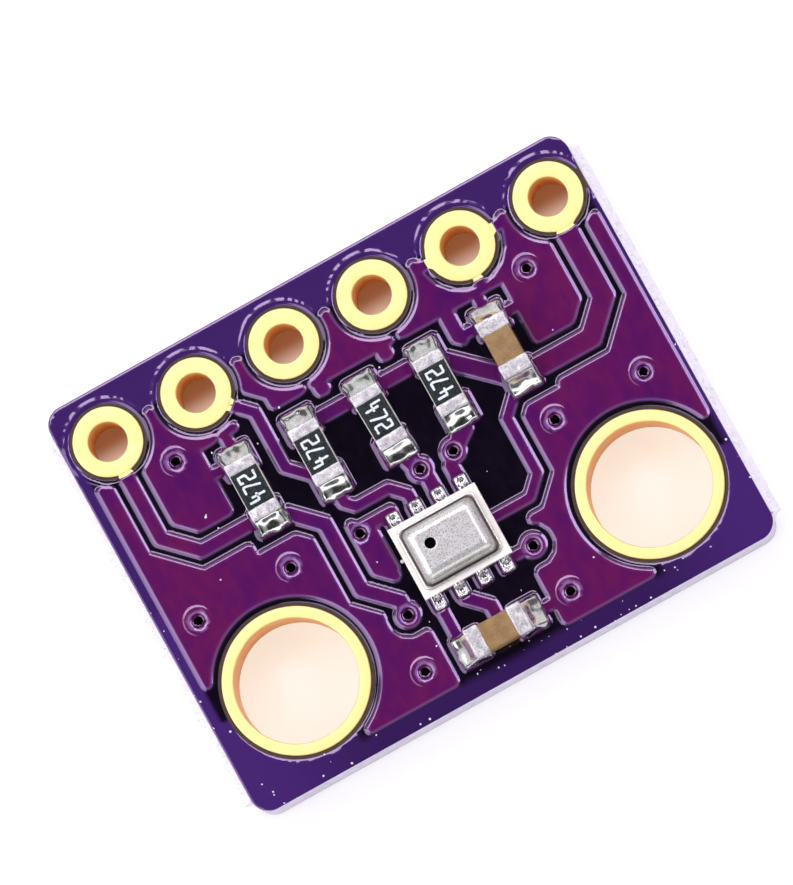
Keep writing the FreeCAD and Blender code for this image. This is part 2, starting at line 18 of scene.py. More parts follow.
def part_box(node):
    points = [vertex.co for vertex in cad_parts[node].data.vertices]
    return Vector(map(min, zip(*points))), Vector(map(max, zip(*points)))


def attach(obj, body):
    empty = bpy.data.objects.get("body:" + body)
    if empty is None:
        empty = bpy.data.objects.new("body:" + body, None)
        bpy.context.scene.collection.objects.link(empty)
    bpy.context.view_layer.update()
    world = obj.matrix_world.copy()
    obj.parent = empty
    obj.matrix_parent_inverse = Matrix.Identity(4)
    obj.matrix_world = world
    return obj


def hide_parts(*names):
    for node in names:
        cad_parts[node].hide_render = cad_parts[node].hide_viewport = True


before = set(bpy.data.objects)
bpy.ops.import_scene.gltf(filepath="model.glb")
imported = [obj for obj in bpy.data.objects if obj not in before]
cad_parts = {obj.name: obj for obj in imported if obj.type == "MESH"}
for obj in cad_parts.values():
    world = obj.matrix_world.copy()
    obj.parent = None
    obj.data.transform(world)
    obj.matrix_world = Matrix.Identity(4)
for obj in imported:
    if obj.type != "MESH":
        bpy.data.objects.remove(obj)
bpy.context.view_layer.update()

LOG = logging.getLogger("pressure_sensor_module")
MM = 0.001
BODY = "root"
BOARD_HALF_X, BOARD_HALF_Y, BOARD_CORNER = 7.4625, 5.7925, 0.50
BOARD_TOP = 1.60
LAMINATE_TOP = 1.54
CHIP_BASE = 1.62
DECK = 1.91
PAD_NODES = [f"header_pad_{i + 1}" for i in range(6)]
RING_NODES = ["mounting_ring_left", "mounting_ring_right"]

Points = np.ndarray
Outline = Callable[[Points, Points], Points]
Corners = tuple[int, ...]
Material = bpy.types.Material
Piece = bpy.types.Object
Node = bpy.types.Node
Socket = bpy.types.NodeSocket


def node_box(name: str) -> tuple[Points, Points]:
    """Lowest and highest corner of a solid, in millimetres.

    Args:
        name: The solid's node.

    Returns:
        The two corners.
    """
    low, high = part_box(name)
    return np.array(low) / MM, np.array(high) / MM


def node_centre(name: str) -> Points:
    """Middle of a solid's box, in millimetres."""
    low, high = node_box(name)
    return (low + high) / 2


def smoothstep(value: Points) -> Points:
    """A soft ramp from 0 to 1."""
    t = np.clip(value, 0.0, 1.0)
    return t * t * (3 - 2 * t)


def rounded_box_distance(x: Points, y: Points, half_x: float, half_y: float, radius: float) -> Points:
    """Signed distance to a rounded rectangle about the origin, below zero inside.

    Args:
        x: First coordinates.
        y: Second coordinates.
        half_x: Half its length.
        half_y: Half its width.
        radius: Corner radius.

    Returns:
        The distances.
    """
    qx, qy = np.abs(x) - half_x + radius, np.abs(y) - half_y + radius
    outside = np.hypot(np.maximum(qx, 0), np.maximum(qy, 0))
    return outside + np.minimum(np.maximum(qx, qy), 0) - radius


def ripple(x: Points, y: Points, size: float, seed: int) -> Points:
    """A smooth uneven surface between about -1 and 1.

    Args:
        x: First coordinates.
        y: Second coordinates.
        size: Rough width of one swell.
        seed: Picks the pattern.

    Returns:
        The heights.
    """
    draw = np.random.default_rng(seed)
    total = np.zeros_like(np.asarray(x, float) + np.asarray(y, float))
    for _ in range(7):
        turn, phase, stretch = draw.uniform(0, 2 * math.pi), draw.uniform(0, 2 * math.pi), draw.uniform(0.7, 1.6)
        total = total + np.sin((x * math.cos(turn) + y * math.sin(turn)) * math.pi / size * stretch + phase)
    return total / 3.5


def linked(name: str, data: bpy.types.ID) -> Piece:
    """A new object in the scene."""
    made = bpy.data.objects.new(name, data)
    bpy.context.scene.collection.objects.link(made)
    return made


def mesh_points(mesh: bpy.types.Mesh) -> Points:
    """A mesh's points, in millimetres."""
    points = np.zeros(len(mesh.vertices) * 3)
    mesh.vertices.foreach_get("co", points)
    return points.reshape(-1, 3) / MM


def lone_edges(triangles: Points, size: int) -> Points:
    """The directed edges with a triangle on one side only.

    Args:
        triangles: Three corners each.
        size: How many points there are.

    Returns:
        Start and end of each edge.
    """
    edges = np.vstack([triangles[:, [0, 1]], triangles[:, [1, 2]], triangles[:, [2, 0]]])
    forward, backward = edges[:, 0] * size + edges[:, 1], edges[:, 1] * size + edges[:, 0]
    return edges[~np.isin(forward, backward)]


def quarter_turn(steps: int, first: int = 0) -> list[float]:
    """The angles of a quarter turn, in equal steps."""
    return [math.pi / 2 * k / steps for k in range(first, steps + 1)]


class Finish(Enum):
    """The names of the finishes."""

    MASK = "purple_lacquer"
    BARE_BOARD = "glass_fibre_board"
    FIBRE = "torn_glass_fibre"
    GOLD = "plated_gold"
    TIN = "bright_tin"
    SOLDER = "reflowed_solder"
    ALUMINA = "white_alumina"
    GLAZE = "dark_glaze"
    MARKING = "white_marking"
    CERAMIC = "tan_ceramic"
    SUBSTRATE = "cream_substrate"
    CAN = "satin_nickel"
    SILICON = "silicon"
    VIA = "via_wall"


class Draft:
    """A mesh being drawn, in millimetres."""

    def __init__(self) -> None:
        self.points: list[Points] = []
        self.faces: list[Corners] = []
        self.count = 0

    def add(self, points: Points, faces: Iterable[Iterable[int]]) -> None:
        """Add points and the faces between them.

        Args:
            points: An array of places, three numbers each.
            faces: Corners of each face, counted from the first of these points.
        """
        self.points.append(np.asarray(points, float))
        self.faces.extend(tuple(int(i) + self.count for i in face) for face in faces)
        self.count += len(points)

    def loft(self, rings: list[Points], closed: bool = False, caps: bool = False) -> None:
        """Join rings of equal length by quads.

        Args:
            rings: The rings, one after another.
            closed: Joins the last ring to the first.
            caps: Closes both ends with one face.
        """
        size, number = len(rings[0]), len(rings)
        faces: list[Corners] = []
        for k in range(number if closed else number - 1):
            a, b = k * size, (k + 1) % number * size
            faces.extend((a + i, a + (i + 1) % size, b + (i + 1) % size, b + i) for i in range(size))
        if caps:
            faces.append(tuple(range(size))[::-1])
            faces.append(tuple((number - 1) * size + i for i in range(size)))
        self.add(np.vstack(rings), faces)

    def revolve(self, profile: list[tuple[float, float]], centre: Points, steps: int) -> None:
        """Turn a closed outline of radius and height about an upright axis.

        Args:
            profile: The outline, going round so that its faces point out.
            centre: The axis.
            steps: Number of steps round.
        """
        turns = np.arange(steps) * 2 * math.pi / steps
        rings = []
        for radius, height in profile:
            ring = [centre[0] + radius * np.cos(turns), centre[1] + radius * np.sin(turns), np.full(steps, height)]
            rings.append(np.column_stack(ring))
        self.loft(rings, closed=True)

    def rounded_block(self, low: Points, high: Points, radius: float, cells: tuple[int, int, int], place: Matrix,
                      wobble: float = 0.0, seed: int = 0) -> None:
        """A block with round edges and slightly uneven faces.

        Args:
            low: Its lowest corner before it is placed.
            high: Its highest corner before it is placed.
            radius: Radius of the edges.
            cells: Number of cells along each side.
            place: Where it goes.
            wobble: How uneven its faces are.
            seed: Picks the unevenness.
        """
        low, high = np.asarray(low, float), np.asarray(high, float)
        middle, half = (low + high) / 2, (high - low) / 2
        for axis in range(3):
            u, v = (axis + 1) % 3, (axis + 2) % 3
            for sign in (-1, 1):
                a = self._side_steps(cells[u], half[u], radius)
                b = self._side_steps(cells[v], half[v], radius)
                grid_a, grid_b = np.meshgrid(a, b, indexing="ij")
                points = np.zeros((grid_a.size, 3))
                points[:, axis] = sign * half[axis]
                points[:, u], points[:, v] = grid_a.ravel(), grid_b.ravel()
                core = np.clip(points, -(half - radius), half - radius)
                away = points - core
                length = np.linalg.norm(away, axis=1, keepdims=True)
                normal = away / np.maximum(length, 1e-9)
                reach = radius + wobble * (ripple(points[:, 0], points[:, 1], 0.16, seed)
                                           + ripple(points[:, 2], points[:, 0], 0.11, seed + 5))[:, None] / 2
                points = core + normal * reach + middle
                rows, columns = len(a), len(b)
                faces = []
                for i in range(rows - 1):
                    for j in range(columns - 1):
                        k = i * columns + j
                        quad = (k, k + columns, k + columns + 1, k + 1)
                        faces.append(quad if sign > 0 else quad[::-1])
                self.add(placed(points, place), faces)

    @staticmethod
    def _side_steps(cells: int, half: float, radius: float) -> Points:
        """Steps along a side, with three at each rounded end."""
        angles = np.tan(np.array([0.0, 0.4, 0.75]) * math.pi / 4)
        ends = half - radius * (1 - angles[1:])
        inner = np.linspace(-(half - radius), half - radius, cells + 1)
        return np.concatenate([[-half], -ends[::-1], inner, ends, [half]])

    def build(self, name: str, material: Material, crease: float = 35.0, merge: float = 1e-4) -> Piece:
        """Make the object.

        Args:
            name: Its name.
            material: Its finish.
            crease: Angle in degrees past which an edge stays sharp.
            merge: Points nearer than this are joined.

        Returns:
            The object, with its place in its mesh.
        """
        points, faces = np.vstack(self.points), self.faces
        if merge:
            keys = np.round(points / merge).astype(np.int64)
            _, first, inverse = np.unique(keys, axis=0, return_index=True, return_inverse=True)
            inverse = inverse.ravel()
            points = points[first]
            tidy = []
            for face in faces:
                corners = [int(inverse[i]) for i in face]
                corners = [c for k, c in enumerate(corners) if c != corners[k - 1]]
                if len(set(corners)) == len(corners) >= 3:
                    tidy.append(corners)
            faces = tidy
        mesh = bpy.data.meshes.new(name)
        mesh.from_pydata((points * MM).tolist(), [], faces)
        mesh.validate()
        mesh.shade_smooth()
        mesh.set_sharp_from_angle(angle=math.radians(crease))
        mesh.materials.append(material)
        return linked(name, mesh)


def placed(points: Points, place: Matrix) -> Points:
    """Points moved by a matrix."""
    turn = np.array(place.to_3x3())
    return points @ turn.T + np.array(place.translation)


def wear(piece: Piece, slot: str, *nodes: str) -> None:
    """Fix a piece to the part, and hide the solids that it stands for.

    Args:
        piece: The piece.
        slot: Not used.
        nodes: The solids that it stands for.
    """
    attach(piece, BODY)
    if nodes:
        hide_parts(*nodes)
    LOG.info("%s: %d faces", piece.name, len(piece.data.polygons))


class DistanceField:
    """Signed distance to an outline over the board, kept on a fine grid: below zero inside."""

    def __init__(self, half_x: float, half_y: float, pitch: float, reach: float = 0.6) -> None:
        self.pitch, self.reach = pitch, reach
        self.x = np.arange(-half_x, half_x + pitch, pitch)
        self.y = np.arange(-half_y, half_y + pitch, pitch)
        self.grid_x, self.grid_y = np.meshgrid(self.x, self.y)
        self.value = np.full(self.grid_x.shape, reach)

    def unsigned(self, segments: Points) -> Points:
        """Distance from each grid point to the nearest segment, up to the reach.

        Args:
            segments: Start and end of each segment, four numbers each.

        Returns:
            The distances on the grid.
        """
        distance = np.full(self.grid_x.shape, self.reach)
        for ax, ay, bx, by in segments:
            i0, i1 = self._span(min(ax, bx), max(ax, bx), self.x)
            j0, j1 = self._span(min(ay, by), max(ay, by), self.y)
            part = distance[j0:j1, i0:i1]
            x, y = self.grid_x[j0:j1, i0:i1] - ax, self.grid_y[j0:j1, i0:i1] - ay
            dx, dy = bx - ax, by - ay
            t = np.clip((x * dx + y * dy) / max(dx * dx + dy * dy, 1e-12), 0, 1)
            np.minimum(part, np.hypot(x - t * dx, y - t * dy), out=part)
        return distance

    def _span(self, low: float, high: float, axis: Points) -> tuple[int, int]:
        """The grid lines within reach of a stretch."""
        first = int(max(0, (low - self.reach - axis[0]) // self.pitch))
        last = int(min(len(axis), (high + self.reach - axis[0]) // self.pitch + 2))
        return first, max(last, first)

    def inside(self, segments: Points) -> Points:
        """Whether each grid point lies inside closed outlines, by counting crossings."""
        toggles = np.zeros((len(self.y), len(self.x) + 1), int)
        for ax, ay, bx, by in segments:
            rows = np.nonzero((ay > self.y) != (by > self.y))[0]
            if len(rows):
                cross = ax + (self.y[rows] - ay) / (by - ay) * (bx - ax)
                np.add.at(toggles, (rows, np.searchsorted(self.x, cross)), 1)
        return np.cumsum(toggles, axis=1)[:, :-1] % 2 == 1

    def outline(self, segments: Points) -> None:
        """Take the signed distance to closed outlines."""
        distance = self.unsigned(segments)
        self.value = np.where(self.inside(segments), -distance, distance)

    def contour(self, level: float) -> Points:
        """The line where the value passes a level, as short segments."""
        value = self.value - level
        rows, columns = value.shape
        k = np.arange(rows * columns).reshape(rows, columns)
        a, b, c, d = k[:-1, :-1].ravel(), k[:-1, 1:].ravel(), k[1:, 1:].ravel(), k[1:, :-1].ravel()
        triangles = np.vstack([np.column_stack([a, b, c]), np.column_stack([a, c, d])])
        flat, x, y = value.ravel(), self.grid_x.ravel(), self.grid_y.ravel()
        side = flat[triangles] < 0
        mixed = side.any(1) & ~side.all(1)
        triangles, side = triangles[mixed], side[mixed]
        lone_side = side.sum(1) == 1
        lone = np.argmax(side == lone_side[:, None], axis=1)
        order = (lone[:, None] + np.arange(3)) % 3
        corners = np.take_along_axis(triangles, order, axis=1)
        ends = []
        for other in (1, 2):
            p, q = corners[:, 0], corners[:, other]
            t = flat[p] / (flat[p] - flat[q])
            ends.append(np.column_stack([x[p] + t * (x[q] - x[p]), y[p] + t * (y[q] - y[p])]))
        return np.hstack(ends)

    def soften_corners(self, radius: float) -> None:
        """Round the outline's outer corners, as the edge of etched copper is."""
        shrunk = self.contour(-radius)
        distance = self.unsigned(shrunk)
        self.value = np.where(self.value < -radius, -distance, distance) - radius

    def sample(self, x: Points, y: Points) -> Points:
        """The value at any places, between the grid's points."""
        u = np.clip((x - self.x[0]) / self.pitch, 0, len(self.x) - 1.001)
        v = np.clip((y - self.y[0]) / self.pitch, 0, len(self.y) - 1.001)
        i, j = u.astype(int), v.astype(int)
        s, t = u - i, v - j
        value = self.value
        low = value[j, i] * (1 - s) + value[j, i + 1] * s
        high = value[j + 1, i] * (1 - s) + value[j + 1, i + 1] * s
        return low * (1 - t) + high * t


class Sheet:
    """A flat sheet of triangles with values at its points, which can be split along level lines."""

    def __init__(self, low: tuple[float, float], high: tuple[float, float], pitch: float) -> None:
        columns, rows = (max(2, int(math.ceil((b - a) / pitch))) for a, b in zip(low, high))
        x, y = np.meshgrid(np.linspace(low[0], high[0], columns + 1), np.linspace(low[1], high[1], rows + 1))
        self.points = np.column_stack([x.ravel(), y.ravel()])
        k = np.arange(x.size).reshape(x.shape)
        a, b, c, d = k[:-1, :-1], k[:-1, 1:], k[1:, 1:], k[1:, :-1]
        even = (np.add.outer(np.arange(rows), np.arange(columns)) % 2 == 0)
        cells = []
        for chosen, first, second in ((even, (a, b, c), (a, c, d)), (~even, (a, b, d), (b, c, d))):
            for corners in (first, second):
                cells.append(np.column_stack([corner[chosen] for corner in corners]))
        self.triangles = np.vstack(cells)
        self.values: dict[str, Points] = {}

    def measure(self, name: str, outline: Outline) -> None:
        """Keep a value for each point."""
        self.values[name] = outline(self.points[:, 0], self.points[:, 1])

    def split(self, name: str, level: float, snap: float = 2e-3) -> None:
        """Split the triangles where a value passes a level.

        Args:
            name: The value.
            level: The level.
            snap: Points whose value is this near to the level count as on it.
        """
        offset = self.values[name] - level
        offset[np.abs(offset) < snap] = 0.0
        self.values[name] = offset + level
        side = np.sign(offset)[self.triangles]
        mixed = (side.min(1) < 0) & (side.max(1) > 0)
        kept = [self.triangles[~mixed]]
        triangles, side = self.triangles[mixed], side[mixed]
        touching = (side == 0).any(1)
        first_a = self._rolled(triangles[touching], np.argmax(side[touching] == 0, axis=1))
        lone_sign = -np.sign(side[~touching].sum(1))
        first_b = self._rolled(triangles[~touching], np.argmax(side[~touching] == lone_sign[:, None], axis=1))
        edges = np.vstack([first_a[:, 1:3], first_b[:, [0, 1]], first_b[:, [0, 2]]])
        if not len(edges):
            return
        ordered = np.sort(edges, axis=1)
        unique, inverse = np.unique(ordered, axis=0, return_inverse=True)
        new = len(self.points) + inverse.ravel()
        p, q = unique[:, 0], unique[:, 1]
        t = offset[p] / (offset[p] - offset[q])
        self.points = np.vstack([self.points, self.points[p] + t[:, None] * (self.points[q] - self.points[p])])
        for key, value in self.values.items():
            between = value[p] + t * (value[q] - value[p])
            self.values[key] = np.concatenate([value, np.full(len(p), level) if key == name else between])
        count_a, count_b = len(first_a), len(first_b)
        mid, left, right = new[:count_a], new[count_a:count_a + count_b], new[count_a + count_b:]
        kept.append(np.column_stack([first_a[:, 0], first_a[:, 1], mid]))
        kept.append(np.column_stack([first_a[:, 0], mid, first_a[:, 2]]))
        kept.append(np.column_stack([first_b[:, 0], left, right]))
        kept.append(np.column_stack([left, first_b[:, 1], first_b[:, 2]]))
        kept.append(np.column_stack([left, first_b[:, 2], right]))
        self.triangles = np.vstack(kept)

    @staticmethod
    def _rolled(triangles: Points, first: Points) -> Points:
        """Triangles with the chosen corner first."""
        return np.take_along_axis(triangles, (first[:, None] + np.arange(3)) % 3, axis=1)

    def keep(self, name: str, level: float) -> None:
        """Drop the triangles whose value lies above a level."""
        middle = self.values[name][self.triangles].mean(1)
        self.triangles = self.triangles[middle < level]
        used, inverse = np.unique(self.triangles, return_inverse=True)
        self.triangles = inverse.reshape(-1, 3)
        self.points = self.points[used]
        self.values = {key: value[used] for key, value in self.values.items()}

    def rim(self) -> Points:
        """The edges round the sheet and its holes."""
        return lone_edges(self.triangles, len(self.points))

    def raise_to(self, heights: Points, floor: float, draft: Draft, closed: bool = False) -> None:
        """Write the sheet at the given heights, with walls down to a floor.

        Args:
            heights: One height for each point.
            floor: Height of the walls' feet.
            draft: Where the faces go.
            closed: Adds a flat underside.
        """
        top = np.column_stack([self.points, heights])
        size = len(top)
        rim = self.rim()
        low = np.column_stack([self.points, np.full(size, floor)])
        if closed:
            walls = np.column_stack([rim[:, 0], rim[:, 0] + size, rim[:, 1] + size, rim[:, 1]])
            draft.add(np.vstack([top, low]), [*self.triangles, *walls, *(self.triangles[:, ::-1] + size)])
            return
        used = np.unique(rim)
        place = np.zeros(size, int)
        place[used] = np.arange(len(used))
        upper, lower = size + place, size + len(used) + place
        walls = np.column_stack([upper[rim[:, 0]], lower[rim[:, 0]], lower[rim[:, 1]], upper[rim[:, 1]]])
        draft.add(np.vstack([top, top[used], low[used]]), [*self.triangles, *walls])


class Wiring:
    """Short ways to add and link nodes."""

    def __init__(self, tree: bpy.types.NodeTree) -> None:
        self.tree = tree

    def node(self, kind: str, settings: dict[str, object] | None = None, **inputs: object) -> Node:
        """Add a node.

        Args:
            kind: Blender's name of the node's type.
            settings: The node's own settings.
            inputs: A value or a socket for each named input, with _ for a space.

        Returns:
            The node.
        """
        made = self.tree.nodes.new(kind)
        for key, value in (settings or {}).items():
            setattr(made, key, value)
        for key, value in inputs.items():
            self.feed(made.inputs[key.replace("_", " ")], value)
        return made

    def feed(self, socket: Socket, value: object) -> None:
        """Give an input its value, or link it."""
        if isinstance(value, Socket):
            self.tree.links.new(value, socket)
        else:
            socket.default_value = value

    def math(self, operation: str, *values: object) -> Socket:
        """A Math node's result."""
        made = self.tree.nodes.new("ShaderNodeMath")
        made.operation = operation
        for socket, value in zip(made.inputs, values):
            self.feed(socket, value)
        return made.outputs[0]

    def mix(self, factor: object, first: object, second: object) -> Socket:
        """A mix of two colours, each a socket, four numbers or six hex digits."""
        made = self.tree.nodes.new("ShaderNodeMix")
        made.data_type = "RGBA"
        for index, value in ((0, factor), (6, first), (7, second)):
            self.feed(made.inputs[index], colour(value) if isinstance(value, str) else value)
        return made.outputs[2]

    def ramp(self, value: object, low: float, high: float, to_low: float = 0.0, to_high: float = 1.0) -> Socket:
        """A value mapped from one range to another, and held within it."""
        made = self.node("ShaderNodeMapRange", {"interpolation_type": "SMOOTHSTEP"}, Value=value, From_Min=low,
                         From_Max=high, To_Min=to_low, To_Max=to_high)
        return made.outputs["Result"]

    def along(self, axis: str) -> Socket:
        """A coordinate in the part's own frame, in millimetres."""
        place = self.node("ShaderNodeTexCoord").outputs["Object"]
        return self.math("MULTIPLY", self.node("ShaderNodeSeparateXYZ", None, Vector=place).outputs[axis], 1000.0)

    def flatness(self, normal: str, low: float, high: float) -> Socket:
        """How level a place lies: 0 on walls and 1 where it faces up or down."""
        facing = self.node("ShaderNodeNewGeometry").outputs[normal]
        rise = self.node("ShaderNodeSeparateXYZ", None, Vector=facing).outputs["Z"]
        return self.ramp(self.math("ABSOLUTE", rise), low, high)

    def attribute(self, name: str) -> Socket:
        """A value written at the mesh's points."""
        return self.node("ShaderNodeAttribute", {"attribute_name": name}).outputs["Fac"]


def colour(text: str) -> tuple[float, float, float, float]:
    """A screen colour written as six hex digits, as Blender's linear numbers."""
    parts = [int(text[i:i + 2], 16) / 255 for i in (0, 2, 4)]
    linear = [p / 12.92 if p <= 0.04045 else ((p + 0.055) / 1.055) ** 2.4 for p in parts]
    return (linear[0], linear[1], linear[2], 1.0)


class GrainGroup:
    """The shared uneven surface, sized in millimetres: coarse and fine mottling, and a height."""

    name = "surface_grain"

    def get(self) -> bpy.types.NodeTree:
        """The group, made at its first use."""
        if self.name in bpy.data.node_groups:
            return bpy.data.node_groups[self.name]
        tree = bpy.data.node_groups.new(self.name, "ShaderNodeTree")
        interface = tree.interface
        for name, value in (("Coarse Size", 0.4), ("Fine Size", 0.05), ("Stretch", 1.0)):
            interface.new_socket(name=name, in_out="INPUT", socket_type="NodeSocketFloat").default_value = value
        for name in ("Coarse", "Fine", "Height"):
            interface.new_socket(name=name, in_out="OUTPUT", socket_type="NodeSocketFloat")
        shade = Wiring(tree)
        inputs, outputs = tree.nodes.new("NodeGroupInput"), tree.nodes.new("NodeGroupOutput")
        place = shade.node("ShaderNodeTexCoord").outputs["Object"]
        stretch = shade.node("ShaderNodeCombineXYZ", None, X=1.0, Y=inputs.outputs["Stretch"], Z=1.0).outputs[0]
        in_mm = shade.node("ShaderNodeVectorMath", {"operation": "SCALE"}, Scale=1000.0)
        shade.feed(in_mm.inputs[0], place)
        drawn = shade.node("ShaderNodeVectorMath", {"operation": "MULTIPLY"})
        shade.feed(drawn.inputs[0], in_mm.outputs[0])
        shade.feed(drawn.inputs[1], stretch)
        results = []
        for size, detail in (("Coarse Size", 3.0), ("Fine Size", 2.0)):
            scale = shade.math("DIVIDE", 1.0, inputs.outputs[size])
            noise = shade.node("ShaderNodeTexNoise", None, Vector=drawn.outputs[0], Scale=scale, Detail=detail)
            results.append(noise.outputs["Fac"])
        shade.feed(outputs.inputs["Coarse"], results[0])
        shade.feed(outputs.inputs["Fine"], results[1])
        height = shade.math("ADD", shade.math("MULTIPLY", results[0], 0.6), shade.math("MULTIPLY", results[1], 0.4))
        shade.feed(outputs.inputs["Height"], height)
        return tree


@dataclass(frozen=True)
class Surface:
    """A plain finish: two mottled colours, roughness and a fine bump."""

    finish: Finish
    first: str
    second: str
    roughness: float
    metallic: float = 0.0
    coarse: float = 0.4
    fine: float = 0.05
    stretch: float = 1.0
    contrast: float = 0.5
    rough_spread: float = 0.1
    bump: float = 0.004
    specular: float = 0.5
    specular_tint: str = "FFFFFF"
    translucent: float = 0.0

    def build(self) -> Material:
        """Make the material.

        Returns:
            The material, with its noise in the part's own millimetres.
        """
        material = bpy.data.materials.new(self.finish.value)
        material.use_nodes = True
        shade = Wiring(material.node_tree)
        bsdf = material.node_tree.nodes["Principled BSDF"]
        grain = self.grain(shade)
        spread, width = 0.5 * self.contrast, 0.125 / self.contrast
        tone = shade.ramp(grain.outputs["Coarse"], 0.5 - width, 0.5 + width)
        speck = shade.ramp(grain.outputs["Fine"], 0.35, 0.65, 0.5 - spread, 0.5 + spread)
        blend = shade.math("ADD", shade.math("MULTIPLY", tone, 0.5), shade.math("MULTIPLY", speck, 0.5))
        shade.feed(bsdf.inputs["Base Color"], self.tint(shade, blend))
        smoothest = max(0.02, self.roughness - self.rough_spread)
        rough = shade.ramp(grain.outputs["Fine"], 0.3, 0.7, smoothest, self.roughness + self.rough_spread)
        values = {"Roughness": rough, "Metallic": self.metallic, "Specular IOR Level": self.specular,
                  "Specular Tint": colour(self.specular_tint)}
        if self.translucent:
            values |= {"Subsurface Weight": self.translucent, "Subsurface Radius": (0.6 * MM,) * 3,
                       "Subsurface Scale": 1.0}
        if self.bump:
            height = grain.outputs["Height"]
            bump = shade.node("ShaderNodeBump", None, Strength=1.0, Distance=self.bump * MM, Height=height)
            values["Normal"] = bump.outputs[0]
        for name, value in values.items():
            shade.feed(bsdf.inputs[name], value)
        return material

    def grain(self, shade: Wiring) -> Node:
        """The shared uneven surface with this finish's sizes."""
        node = shade.node("ShaderNodeGroup", {"node_tree": GrainGroup().get()})
        for key, value in (("Coarse Size", self.coarse), ("Fine Size", self.fine), ("Stretch", self.stretch)):
            node.inputs[key].default_value = value
        return node

    def tint(self, shade: Wiring, blend: Socket) -> Socket:
        """The mottled colour."""
        return shade.mix(blend, self.first, self.second)


@dataclass(frozen=True)
class Lacquer(Surface):
    """The purple lacquer: dark over bare board, bright over copper, violet where light comes through, with a painted
    lilac sheen along the copper's edges and round the vias.
    """

    bare_first: str = "06030C"
    bare_second: str = "0E0718"
    through: str = "43246A"
    painted_sheen: str = "A585BE"

    def tint(self, shade: Wiring, blend: Socket) -> Socket:
        """The colour from what lies beneath, with the painted glow where light comes through and the painted lilac
        sheen.
        """
        bare = shade.mix(blend, self.bare_first, self.bare_second)
        bare = shade.mix(shade.attribute("light_through"), bare, self.through)
        mixed = shade.mix(shade.attribute("copper"), bare, shade.mix(blend, self.first, self.second))
        # Painted highlight: a lilac sheen mixed in along the copper's edges and round the vias.
        return shade.mix(shade.attribute("painted_sheen"), mixed, self.painted_sheen)


@dataclass(frozen=True)
class Plating(Surface):
    """Gold plating: pale yellow where it lies flat, with painted shade making it deep amber on the walls inside the
    holes.
    """

    wall: str = "EFA044"
    wall_light: str = "FFDA92"

    def tint(self, shade: Wiring, blend: Socket) -> Socket:
        """The colour from which way the surface faces: painted shade makes the walls deep amber."""
        # Painted shade: walls get the deeper amber, flat places the pale yellow.
        walls = shade.mix(blend, self.wall, self.wall_light)
        return shade.mix(shade.flatness("Normal", 0.25, 0.9), walls, shade.mix(blend, self.first, self.second))


@dataclass(frozen=True)
class BoardStock(Surface):
    """Glass-fibre board: olive on its faces, grey on its cut walls, white where it was torn."""

    wall: str = "C2BCCA"
    wall_light: str = "EFEDF2"
    torn: str = "FFFFFF"

    def tint(self, shade: Wiring, blend: Socket) -> Socket:
        """The colour from which way the surface faces, and how far out it lies."""
        face, walls = shade.mix(blend, self.first, self.second), shade.mix(blend, self.wall, self.wall_light)
        out = shade.ramp(shade.math("ABSOLUTE", shade.along("X")), BOARD_HALF_X - 0.03, BOARD_HALF_X + 0.06)
        whole = shade.mix(shade.flatness("True Normal", 0.5, 0.9), walls, face)
        return shade.mix(out, whole, shade.mix(blend, self.wall_light, self.torn))


@dataclass(frozen=True)
class DrawnCan(Surface):
    """The sensor's can: satin metal, with painted brown shade down in its groove and along its foot."""

    painted_groove_shade: str = "5E5248"
    painted_shade_top: float = 1.968
    painted_shade_fade: float = 0.022

    def tint(self, shade: Wiring, blend: Socket) -> Socket:
        """The colour from the height: painted brown shade below a set height."""
        # Painted shade: everything below this height, the groove and the foot, is darkened to brown.
        clear = shade.ramp(shade.along("Z"), self.painted_shade_top - self.painted_shade_fade, self.painted_shade_top)
        return shade.mix(clear, self.painted_groove_shade, shade.mix(blend, self.first, self.second))


